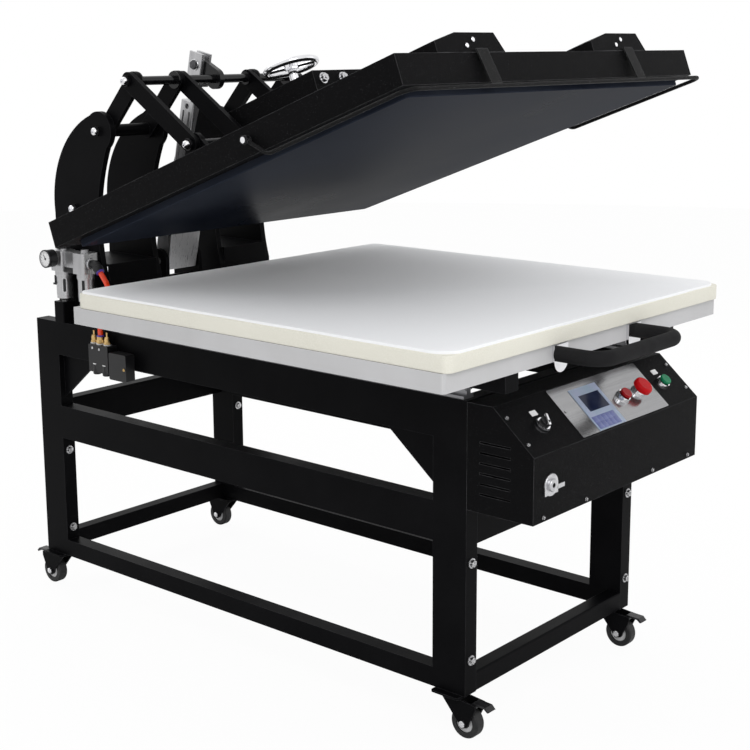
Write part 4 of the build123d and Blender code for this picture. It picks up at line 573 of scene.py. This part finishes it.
bm = bmesh.new()
for x in (-0.2825, 0.2825):
    for z in (0.159, 0.355):
        for y in (-0.65, 0.57):
            addBolt(bm, placeFrom((x, y + shift, z), (1, 0, 0), (0, -1, 0)), frameBolt)
makePiece("frameBolts", bm, boltSteel, "frame", angle=30)
pinPlaces = {
    "tower": ("frame", [((side * 0.2742, y + shift, z), side) for side in (-1, 1)
                        for y, z in ((0.523, 0.944), (0.428, 1.126))]),
    "knee": ("knee_links", [((side * 0.2712, 0.322 + shift, 1.24), side) for side in (-1, 1)]),
    "platenShaft": ("platen", [(onPlaten @ Vector((side * 0.2714, -0.2013, 0.1519)), side) for side in (-1, 1)]),
}
for name, (body, places) in pinPlaces.items():
    pins, washers = bmesh.new(), bmesh.new()
    for at, side in places:
        place = placeFrom(at, (0, 1, 0), (side, 0, 0))
        addPivotPin(pins, place)
        addWasher(washers, place, pivotPin["washer"], pivotPin["radius"] - 0.0006, 0.0012)
    makePiece(name + "Pins", pins, chromeTrim, body, angle=40)
    makePiece(name + "PinWashers", washers, satinBlack, body, angle=40)

# bright screws on the switch boxes and bright ends on the safety bar's studs
switchScrew = {"boxX": 0.25, "front": -0.981, "housingTop": 0.0707, "spots": ((-0.014, 0.023), (-0.036, 0.012)),
               "radius": 0.0046, "height": 0.0034}
studEnd = {"x": 0.5079, "back": -0.602, "up": 0.044, "radius": 0.006, "thick": 0.00006}
forward = onPlaten.to_3x3() @ Vector((0, -1, 0))
bm = bmesh.new()
for side in (-1, 1):
    for across, high in switchScrew["spots"]:
        at = onPlaten @ Vector((side * switchScrew["boxX"] + across, switchScrew["front"],
                                switchScrew["housingTop"] + high))
        r, h = switchScrew["radius"], switchScrew["height"]
        addTurned(bm, placeFrom(at, (1, 0, 0), forward), [(r, 0), (r, h * 0.8), (r * 0.8, h), (0, h)], 28)
    at = onPlaten @ Vector((side * studEnd["x"], studEnd["back"], studEnd["up"]))
    addPlug(bm, placeFrom(at, (0, 1, 0), (side, 0, 0)), studEnd["radius"], studEnd["thick"], 32)
makePiece("switchScrews", bm, chromeTrim, "platen", angle=30)
bm = bmesh.new()
for x in (-0.062, 0, 0.062):
    at = onPlaten @ Vector((x, -0.44, 0.211))
    addBolt(bm, placeFrom(at, (1, 0, 0), onPlaten.to_3x3() @ Vector((0, -1, 0))), bridgeBolt)
makePiece("bridgeBolts", bm, platedSteel, "platen", angle=30)

# the large dark bolt through the cylinder's clevis, with a bright washer each side
clevisBolt = {"head": 0.0112, "high": 0.0052, "washer": 0.0138, "washerThick": 0.0016, "face": 0.0162}
bm, washers = bmesh.new(), bmesh.new()
for side in (-1, 1):
    place = placeFrom((side * clevisBolt["face"], 0.376 + shift, 1.272), (0, 1, 0), (side, 0, 0))
    addPlug(bm, place, clevisBolt["head"], clevisBolt["high"], 6, 0.0009, clevisBolt["washerThick"])
    addWasher(washers, place, clevisBolt["washer"], clevisBolt["head"] * 0.7, clevisBolt["washerThick"])
makePiece("clevisBolt", bm, darkSteel, "cylinder_head", angle=30)
makePiece("clevisWashers", washers, platedSteel, "cylinder_head", angle=30)
print("bolts and pins made")

# small domed screws
panScrew = {"radius": 0.0043, "height": 0.0027}


def addScrew(bm, place, size=panScrew):
    r, h = size["radius"], size["height"]
    addTurned(bm, place, [(r, 0), (r, h * 0.35), (r * 0.86, h * 0.75), (r * 0.55, h), (r * 0.3, h),
                          (r * 0.24, h * 0.45), (0, h * 0.4)], 28)


bm = bmesh.new()
for x in (-0.288, 0.288):
    for up in (0.028, 0.092):
        addScrew(bm, onSlope @ Matrix.Translation((x, up, 0)))
for x in (-0.267, -0.123, 0.123, 0.267):
    addScrew(bm, placeFrom((x, -0.8 + shift, 0.473), (1, 0, 0), (0, -1, 0)))
makePiece("controlScrews", bm, platedSteel, "frame", angle=40)

# control panel: membrane, display, keys and blank tags
panelParts = {"membrane": (-0.029, 0.05396, 0.0946, 0.1006), "display": (-0.026, 0.067, 0.07, 0.039),
              "keypad": (-0.034, 0.021, 0.0765, 0.0295)}
# height off the slope, thickness and corner radius of each plate
plateLayers = {"membrane": (0.0015, 0.00115, 0.0004), "display": (0.0016, 0.0006, 0.0005),
               "keypad": (0.0026, 0.0005, 0.001), "tag": (0.0, 0.0012, 0.0012)}
tagPlaces = {"tagSelector": (-0.212, 0.084), "tagGreen": (0.228, 0.084)}
tagSize = (0.0185, 0.0115)


def slopePlate(name, at, size, low, thick, corner, material, body="frame"):
    bm = bmesh.new()
    place = onSlope @ Matrix.Translation((at[0], at[1], low + thick / 2))
    addBlock(bm, place, size[0], size[1], thick)
    up = (onSlope.to_3x3() @ Vector((0, 0, 1))).normalized()
    posts = [e for e in bm.edges if abs((e.verts[0].co - e.verts[1].co).normalized().dot(up)) > 0.99]
    bevelEdges(bm, posts, corner, 5)
    return makePiece(name, bm, material, body, angle=30)


m = panelParts["membrane"]
# the membrane is four strips round the display window
d = panelParts["display"]
left, right = m[0] - m[2] / 2, m[0] + m[2] / 2
low, high = m[1] - m[3] / 2, m[1] + m[3] / 2
for label, (x0, x1, y0, y1) in {
    "membraneLow": (left, right, low, d[1] - d[3] / 2),
    "membraneHigh": (left, right, d[1] + d[3] / 2, high),
    "membraneLeft": (left, d[0] - d[2] / 2, d[1] - d[3] / 2, d[1] + d[3] / 2),
    "membraneRight": (d[0] + d[2] / 2, right, d[1] - d[3] / 2, d[1] + d[3] / 2),
}.items():
    slopePlate(label, ((x0 + x1) / 2, (y0 + y1) / 2), (x1 - x0, y1 - y0), *plateLayers["membrane"], membraneBlue)
slopePlate("displayGlass", (d[0], d[1]), (d[2], d[3]), *plateLayers["display"], displayBlue)
keys = {"columns": 5, "rows": 2, "pitchX": 0.0148, "pitchY": 0.0135, "sizeX": 0.0146, "sizeY": 0.0133}
k = panelParts["keypad"]
slopePlate("keypadBase", (k[0], k[1]), (k[2], k[3]), *plateLayers["keypad"], keyBlue)
bm = bmesh.new()
for column in range(keys["columns"]):
    for row in range(keys["rows"]):
        x = k[0] + (column - (keys["columns"] - 1) / 2) * keys["pitchX"]
        y = k[1] + (row - (keys["rows"] - 1) / 2) * keys["pitchY"]
        addBlock(bm, onSlope @ Matrix.Translation((x, y, 0.0032)), keys["sizeX"], keys["sizeY"], 0.0006, 0.0002)
makePiece("keypadKeys", bm, keyBlue, "frame", angle=30)
for name, at in tagPlaces.items():
    slopePlate(name, at, tagSize, *plateLayers["tag"], whitePlastic)
print("control panel dressed")

# supply unit: bright bowl guards with dark slots, gauge, black elbow with its collet
bowl = {"x": -0.294, "y": (0.543, 0.462), "low": 0.735, "high": 0.7902, "radius": 0.0185,
        "slotTurn": (-127, -147), "slotMiddle": (0.7665, 0.7745), "slot": (0.0066, 0.031), "rim": (0.0104, 0.0355)}


def addSlot(bm, place, width, length, thick):
    verts = addBlock(bm, place, width, length, thick)
    out = (place.to_3x3() @ Vector((0, 0, 1))).normalized()
    posts = [e for e in bm.edges if e.verts[0] in verts and e.verts[1] in verts
             and abs((e.verts[0].co - e.verts[1].co).normalized().dot(out)) > 0.99]
    bevelEdges(bm, posts, width * 0.46, 5)


guards, windows = bmesh.new(), bmesh.new()
for y, turn, middle in zip(bowl["y"], bowl["slotTurn"], bowl["slotMiddle"]):
    r = bowl["radius"]
    base = Matrix.Translation((bowl["x"], y + shift, bowl["low"]))
    high = bowl["high"] - bowl["low"]
    addTurned(guards, base, [(0, -0.0006), (r * 0.6, -0.0006), (r * 0.86, 0.0012), (r * 0.97, 0.0045), (r, 0.009),
                             (r, high - 0.006), (r * 1.06, high - 0.004), (r * 1.1, high)], 48)
    facing = Vector((math.cos(math.radians(turn)), math.sin(math.radians(turn)), 0))
    at = Vector((bowl["x"], y + shift, middle)) + facing * (r - 0.0002)
    place = placeFrom(at, Vector((0, 0, 1)).cross(facing), facing)
    addSlot(guards, place, bowl["rim"][0], bowl["rim"][1], 0.0016)
    addSlot(windows, place @ Matrix.Translation((0, 0, 0.0004)), bowl["slot"][0], bowl["slot"][1], 0.0014)
makePiece("bowlGuards", guards, castAluminium, "frame", angle=30)
makePiece("bowlWindows", windows, smokedWindow, "frame", angle=30)

gauge = {"back": (-0.323, 0.543, 0.832), "case": 0.0205, "depth": 0.0242, "radius": 0.0176,
         "ticks": 11, "firstTick": -135, "tickStep": 27}
gaugePlace = placeFrom((gauge["back"][0], gauge["back"][1] + shift, gauge["back"][2]), (0, -1, 0), (-1, 0, 0))
facePlace = gaugePlace @ Matrix.Translation((0, 0, gauge["depth"] - 0.0026))
bm = bmesh.new()
r, d = gauge["case"], gauge["depth"]
addTurned(bm, gaugePlace, [(0.0074, -0.0006), (r * 0.94, -0.0006), (r, 0.0012), (r, d * 0.72), (r * 1.03, d * 0.76),
                           (r * 1.03, d * 0.97), (r * 0.98, d), (r * 0.9, d), (gauge["radius"], d - 0.0022)], 56)
makePiece("gaugeCase", bm, blackPlastic, "frame", angle=40)
bm = bmesh.new()
addPlug(bm, facePlace, gauge["radius"], 0.0005, 48)
makePiece("gaugeFace", bm, whitePlastic, "frame", angle=30)
bm = bmesh.new()
for tick in range(gauge["ticks"]):
    turn = math.radians(gauge["firstTick"] + gauge["tickStep"] * tick)
    where = facePlace @ Matrix.Rotation(turn, 4, "Z") @ Matrix.Translation((0, gauge["radius"] * 0.82, 0.0006))
    addBlock(bm, where, 0.0007, 0.0032, 0.0003)
addBlock(bm, facePlace @ Matrix.Rotation(math.radians(35), 4, "Z") @ Matrix.Translation((0, 0.004, 0.0009)),
         0.0012, 0.015, 0.0004)
addPlug(bm, facePlace, 0.0026, 0.001, 16, 0.0002, 0.0005)
makePiece("gaugeMarks", bm, blackPlastic, "frame", angle=30)

# black push-in elbow: a level leg, a ball at the corner and a sloping leg down to the tube
elbow = {"root": (-0.294, 0.441, 0.824), "corner": (-0.294, 0.423, 0.824), "end": (-0.2952, 0.4073, 0.8086),
         "radius": 0.0099, "ring": 0.0136}
root, corner, end = (Vector(elbow[k]) + Vector((0, shift, 0)) for k in ("root", "corner", "end"))
bm = bmesh.new()
r = elbow["radius"]
leg = (corner - root).length
addTurned(bm, placeFrom(root, (1, 0, 0), corner - root),
          [(r * 0.9, 0), (r, 0.003), (r, leg), (r * 0.8, leg + r * 0.6), (0, leg + r)], 32)
leg = (end - corner).length
addTurned(bm, placeFrom(corner, (1, 0, 0), end - corner),
          [(0, -r), (r * 0.8, -r * 0.6), (r * 1.02, 0), (r * 1.02, leg * 0.35), (r * 1.16, leg * 0.42),
           (r * 1.16, leg - 0.002), (r * 1.05, leg), (0.0062, leg)], 32)
makePiece("tubeElbow", bm, blackPlastic, "frame", angle=40)
bm = bmesh.new()
addTurned(bm, placeFrom(end, (1, 0, 0), end - corner),
          [(0.0062, 0), (0.0096, 0), (0.0098, 0.0026), (0.0088, 0.0034), (0.0062, 0.0034)], 32)
makePiece("elbowCollet", bm, purpleCollet, "frame", angle=40)
bm = bmesh.new()
addTurned(bm, placeFrom(root, (1, 0, 0), (0, -1, 0)),
          [(0.0099, -0.0008), (elbow["ring"], -0.0008), (elbow["ring"], 0.0036), (elbow["ring"] * 0.93, 0.0052),
           (0.0098, 0.0056)], 40)
makePiece("elbowRing", bm, platedSteel, "frame", angle=40)

# dark parts of the unit: joint under the middle block, bowl release, drain caps
bm = bmesh.new()
addBlock(bm, Matrix.Translation((-0.294, 0.508 + shift, 0.8045)), 0.0284, 0.0372, 0.0128, 0.0012)
away = Vector((-0.8, 0.6, 0)) * (bowl["radius"] + 0.0012)
release = Vector((bowl["x"], bowl["y"][0] + shift, 0.7775)) + away
addBlock(bm, placeFrom(release, (0.6, 0.8, 0), away), 0.0085, 0.0225, 0.0056, 0.0012)
addBlock(bm, placeFrom(release + away * 0.16 + Vector((0, 0, -0.0085)), (0.6, 0.8, 0), away),
         0.006, 0.0045, 0.006, 0.001)
for y in bowl["y"]:
    addTurned(bm, Matrix.Translation((bowl["x"], y + shift, 0.7266)),
              [(0, 0), (0.0066, 0), (0.0088, 0.0014), (0.0088, 0.0076), (0.0076, 0.0088), (0, 0.0088)], 24)
makePiece("supplyDarkParts", bm, blackPlastic, "frame", angle=30)
print("air supply dressed")

# valve: white washers, brass silencers, collet, screws and the lower ports
valve = {"x": -0.314, "ports": (0.4145, 0.3915, 0.3685), "top": 0.645, "face": -0.3281,
         "washer": (0.0089, 0.0104, 0.0089), "screws": ((0.405, 0.637), (0.381, 0.636)),
         "lower": ((0.4, 0.6005), (0.3665, 0.6)), "lowerLength": 0.0235}
washers, brass = bmesh.new(), bmesh.new()
for place, y in enumerate(valve["ports"]):
    base = Matrix.Translation((valve["x"], y + shift, valve["top"]))
    outer = valve["washer"][place]
    addTurned(washers, base, [(0, 0), (outer, 0), (outer, 0.002), (outer * 0.94, 0.0027), (0, 0.0027)], 36)
    if place == 1:
        addPlug(brass, base, 0.0096, 0.0085, 6, 0.0007, 0.0027)
        addTurned(brass, base, [(0.0088, 0.0112), (0.0088, 0.0165), (0.0082, 0.018), (0.0062, 0.018)], 36)
    else:
        addPlug(brass, base, 0.0078, 0.005, 6, 0.0006, 0.0027)
        addTurned(brass, base, [(0.0066, 0.0077), (0.0066, 0.0145), (0.0056, 0.0172), (0.0026, 0.0186),
                                (0.0022, 0.0285), (0.0028, 0.0288), (0.0028, 0.0302), (0, 0.0304)], 32)
makePiece("valveWashers", washers, whitePlastic, "frame", angle=40)
brassScrew = placeFrom((-0.3303, 0.293 + shift, 0.6005), (0, 1, 0), (-1, 0, 0))
addScrew(brass, brassScrew, {"radius": 0.0034, "height": 0.0022})
makePiece("valveBrass", brass, brassParts, "frame", angle=35)
bm = bmesh.new()
addTurned(bm, Matrix.Translation((valve["x"], valve["ports"][1] + shift, valve["top"] + 0.0182)),
          [(0.0062, 0), (0.0087, 0), (0.009, 0.0026), (0.0082, 0.0036), (0.0062, 0.0036)], 36)
makePiece("valveCollet", bm, purpleCollet, "frame", angle=40)
bm = bmesh.new()
for y, z in valve["screws"]:
    addScrew(bm, placeFrom((valve["face"], y + shift, z), (0, 1, 0), (-1, 0, 0)), {"radius": 0.0031, "height": 0.0018})
makePiece("valveScrews", bm, platedSteel, "frame", angle=40)
gaskets, sockets = bmesh.new(), bmesh.new()
for y, z in valve["lower"]:
    base = Matrix.Translation((-0.3204, y + shift, z))
    addTurned(gaskets, base, [(0.002, 0.0011), (0.0093, 0.0011), (0.0093, -0.0011), (0.002, -0.0011)], 36)
    addTurned(sockets, base, [(0, -0.001), (0.0086, -0.001), (0.0086, -0.012), (0.0096, -0.0135),
                              (0.0096, -valve["lowerLength"]), (0.0078, -valve["lowerLength"] - 0.0016),
                              (0, -valve["lowerLength"] - 0.0016)], 36)
makePiece("valveGaskets", gaskets, whitePlastic, "frame", angle=40)
makePiece("valveSockets", sockets, blackPlastic, "frame", angle=40)
print("valve dressed")

# selector: dark band on its bezel and a bright lever on the black knob
lever = {"at": (-0.219, 0.054), "turn": math.radians(60), "length": 0.0262, "width": 0.0062, "top": 0.0233}
leverPlace = onSlope @ Matrix.Translation((lever["at"][0], lever["at"][1], 0)) @ Matrix.Rotation(lever["turn"], 4, "Z")
bm = bmesh.new()
addBlock(bm, leverPlace @ Matrix.Translation((0, 0, lever["top"] - 0.0016)),
         lever["length"], lever["width"], 0.0046, 0.0011)
makePiece("selectorLever", bm, chromeTrim, "mode_selector", angle=30)
bm = bmesh.new()
addTurned(bm, onSlope @ Matrix.Translation((lever["at"][0], lever["at"][1], 0)),
          [(0.0152, 0.0022), (0.016, 0.0024), (0.0152, 0.0076), (0.0144, 0.0078)], 44)
makePiece("selectorBand", bm, darkSteel, "frame", angle=40)

# plated latch cover on the front face of the control box, over the CAD's plate and knob
lock = {"x": -0.246, "z": 0.531, "disc": 0.0213, "thick": 0.0031, "knob": 0.0122, "knobTop": 0.0081, "keyhole": 0.0046,
        "blocks": ((0, -0.009, 0.0426, 0.0186), (0.031, -0.008, 0.0246, 0.0086))}
lockPlace = placeFrom((lock["x"], -0.8 + shift, lock["z"]), (1, 0, 0), (0, -1, 0))
bm = bmesh.new()
r, thick, top = lock["knob"], lock["thick"], lock["knobTop"]
addTurned(bm, lockPlace, [(lock["disc"], 0), (lock["disc"], thick * 0.7), (lock["disc"] * 0.97, thick), (r, thick),
                          (r, top * 0.86), (r * 0.93, top), (lock["keyhole"], top), (lock["keyhole"], top * 0.5)], 48)
for x, up, width, high in lock["blocks"]:
    addBlock(bm, lockPlace @ Matrix.Translation((x, up, thick / 2)), width, high, thick * 0.98, 0.0006)
makePiece("frontLock", bm, platedSteel, "frame", angle=40)
print("selector and lock dressed")

# caster hubs and axle nuts
casters = {"front_left": (-0.2825, -0.61, -1), "front_right": (0.2825, -0.61, -1),
           "rear_left": (-0.2825, 0.614, 1), "rear_right": (0.2825, 0.614, 1)}
hub = {"outer": 0.0195, "inner": 0.0112, "face": 0.0124, "trail": 0.034, "axle": 0.032, "set": 0.0032,
       "thick": 0.0012, "nutFace": 0.0165}
for name, (x, stem, trail) in casters.items():
    axleY = stem + trail * hub["trail"] + shift
    bm = bmesh.new()
    for side in (-1, 1):
        place = placeFrom((x + side * (hub["face"] - hub["set"]), axleY, hub["axle"]), (0, 1, 0), (side, 0, 0))
        bmesh.ops.create_circle(bm, cap_ends=False, segments=40, radius=hub["inner"], matrix=place)
        inner = [e for e in bm.edges if not e.link_faces]
        made = bmesh.ops.extrude_edge_only(bm, edges=inner)["geom"]
        ring = [g for g in made if isinstance(g, bmesh.types.BMVert)]
        centre = place.translation
        for v in ring:
            v.co = centre + (v.co - centre) * (hub["outer"] / hub["inner"])
        bmesh.ops.solidify(bm, geom=[f for f in bm.faces if any(v in ring for v in f.verts)],
                           thickness=hub["thick"])
    makePiece("hubRing_" + name, bm, trayGrey, "wheel_" + name, angle=30)
    bm = bmesh.new()
    for side in (-1, 1):
        place = placeFrom((x + side * hub["nutFace"], axleY, hub["axle"]), (0, 1, 0), (side, 0, 0))
        addPlug(bm, place, 0.0074, 0.0044, 6, 0.0006)
        addPlug(bm, place, 0.0036, 0.0055, 20, 0.0006)
    makePiece("axleNuts_" + name, bm, chromeTrim, "caster_" + name, angle=30)
print("casters dressed")

# floor, light and camera
floorDisc = {"radius": 9.0, "tone": 0.86, "rough": 0.8, "whiteShare": 0.955}
surround = {"light": 0.77, "backdrop": 1.0}
bm = bmesh.new()
bmesh.ops.create_circle(bm, cap_ends=True, segments=96, radius=floorDisc["radius"])
mesh = bpy.data.meshes.new("floor")
bm.to_mesh(mesh)
bm.free()
floor = bpy.data.objects.new("floor", mesh)
bpy.context.scene.collection.objects.link(floor)
floorMat = bpy.data.materials.new("paleFloor")
floorMat.use_nodes = True
tree = floorMat.node_tree
shader = tree.nodes["Principled BSDF"]
shader.inputs["Base Color"].default_value = (floorDisc["tone"], floorDisc["tone"], floorDisc["tone"], 1)
shader.inputs["Roughness"].default_value = floorDisc["rough"]
paths = addNode(tree, "ShaderNodeLightPath")
white = addNode(tree, "ShaderNodeEmission")
white.inputs["Color"].default_value = (1, 1, 1, 1)
white.inputs["Strength"].default_value = 1.0
mixer = addNode(tree, "ShaderNodeMixShader")
seen = addNode(tree, "ShaderNodeMath", operation="MULTIPLY")
tree.links.new(paths.outputs["Is Camera Ray"], seen.inputs[0])
seen.inputs[1].default_value = floorDisc["whiteShare"]
tree.links.new(seen.outputs[0], mixer.inputs[0])
tree.links.new(shader.outputs[0], mixer.inputs[1])
tree.links.new(white.outputs[0], mixer.inputs[2])
tree.links.new(mixer.outputs[0], tree.nodes["Material Output"].inputs["Surface"])
mesh.materials.append(floorMat)

world = bpy.data.worlds.new("studio")
bpy.context.scene.world = world
world.use_nodes = True
tree = world.node_tree
plain = tree.nodes["Background"]
plain.inputs["Color"].default_value = (1, 1, 1, 1)
plain.inputs["Strength"].default_value = surround["light"]
backdrop = addNode(tree, "ShaderNodeBackground")
backdrop.inputs["Color"].default_value = (1, 1, 1, 1)
backdrop.inputs["Strength"].default_value = surround["backdrop"]
paths = addNode(tree, "ShaderNodeLightPath")
either = addNode(tree, "ShaderNodeMath", operation="MAXIMUM")
anyRay = addNode(tree, "ShaderNodeMath", operation="MAXIMUM")
tree.links.new(paths.outputs["Is Camera Ray"], either.inputs[0])
tree.links.new(paths.outputs["Is Glossy Ray"], either.inputs[1])
tree.links.new(either.outputs[0], anyRay.inputs[0])
tree.links.new(paths.outputs["Is Transmission Ray"], anyRay.inputs[1])
mixer = addNode(tree, "ShaderNodeMixShader")
tree.links.new(anyRay.outputs[0], mixer.inputs[0])
tree.links.new(plain.outputs[0], mixer.inputs[1])
tree.links.new(backdrop.outputs[0], mixer.inputs[2])
tree.links.new(mixer.outputs[0], tree.nodes["World Output"].inputs["Surface"])

lamps = {"key": {"at": (-2.2, -3.0, 3.4), "power": 62, "size": 2.4, "aim": 0.7},
         "fill": {"at": (2.6, -2.6, 2.2), "power": 6, "size": 2.4, "aim": 0.7},
         "back": {"at": (0.4, 3.0, 3.4), "power": 50, "size": 2.2, "aim": 0.7},
         "padSide": {"at": (3.6, -0.72, 1.95), "power": 24, "size": 1.2, "aim": 0.8, "softOnly": True}}
for name, lamp in lamps.items():
    data = bpy.data.lights.new(name, "AREA")
    data.energy = lamp["power"]
    data.size = lamp["size"]
    obj = bpy.data.objects.new(name, data)
    obj.location = lamp["at"]
    obj.rotation_euler = (Vector((0, 0, lamp["aim"])) - Vector(lamp["at"])).to_track_quat("-Z", "Y").to_euler()
    obj.visible_glossy = not lamp.get("softOnly", False)
    bpy.context.scene.collection.objects.link(obj)

shot = {"azimuth": math.radians(-49.704), "elevation": math.radians(11.191), "roll": math.radians(-0.194),
        "place": (-2.3519, -2.1954 + shift, 1.3174), "focal": 1436.43, "centre": (386.338, 328.725),
        "pixels": 750, "sensor": 36, "far": 60}
a, e, roll = shot["azimuth"], shot["elevation"], shot["roll"]
back = Vector((math.sin(a) * math.cos(e), -math.cos(a) * math.cos(e), math.sin(e)))
right = Vector((0, 0, 1)).cross(back).normalized()
up = back.cross(right)
rightTurned = math.cos(roll) * right + math.sin(roll) * up
camData = bpy.data.cameras.new("camera")
camera = bpy.data.objects.new("camera", camData)
bpy.context.scene.collection.objects.link(camera)
camera.matrix_world = placeFrom(shot["place"], rightTurned, back)
camData.sensor_width = shot["sensor"]
camData.lens = shot["focal"] / shot["pixels"] * shot["sensor"]
camData.shift_x = (shot["pixels"] / 2 - shot["centre"][0]) / shot["pixels"]
camData.shift_y = (shot["centre"][1] - shot["pixels"] / 2) / shot["pixels"]
camData.clip_end = shot["far"]
bpy.context.scene.camera = camera
bpy.context.scene.view_settings.view_transform = "Standard"
print("floor, light and camera set")
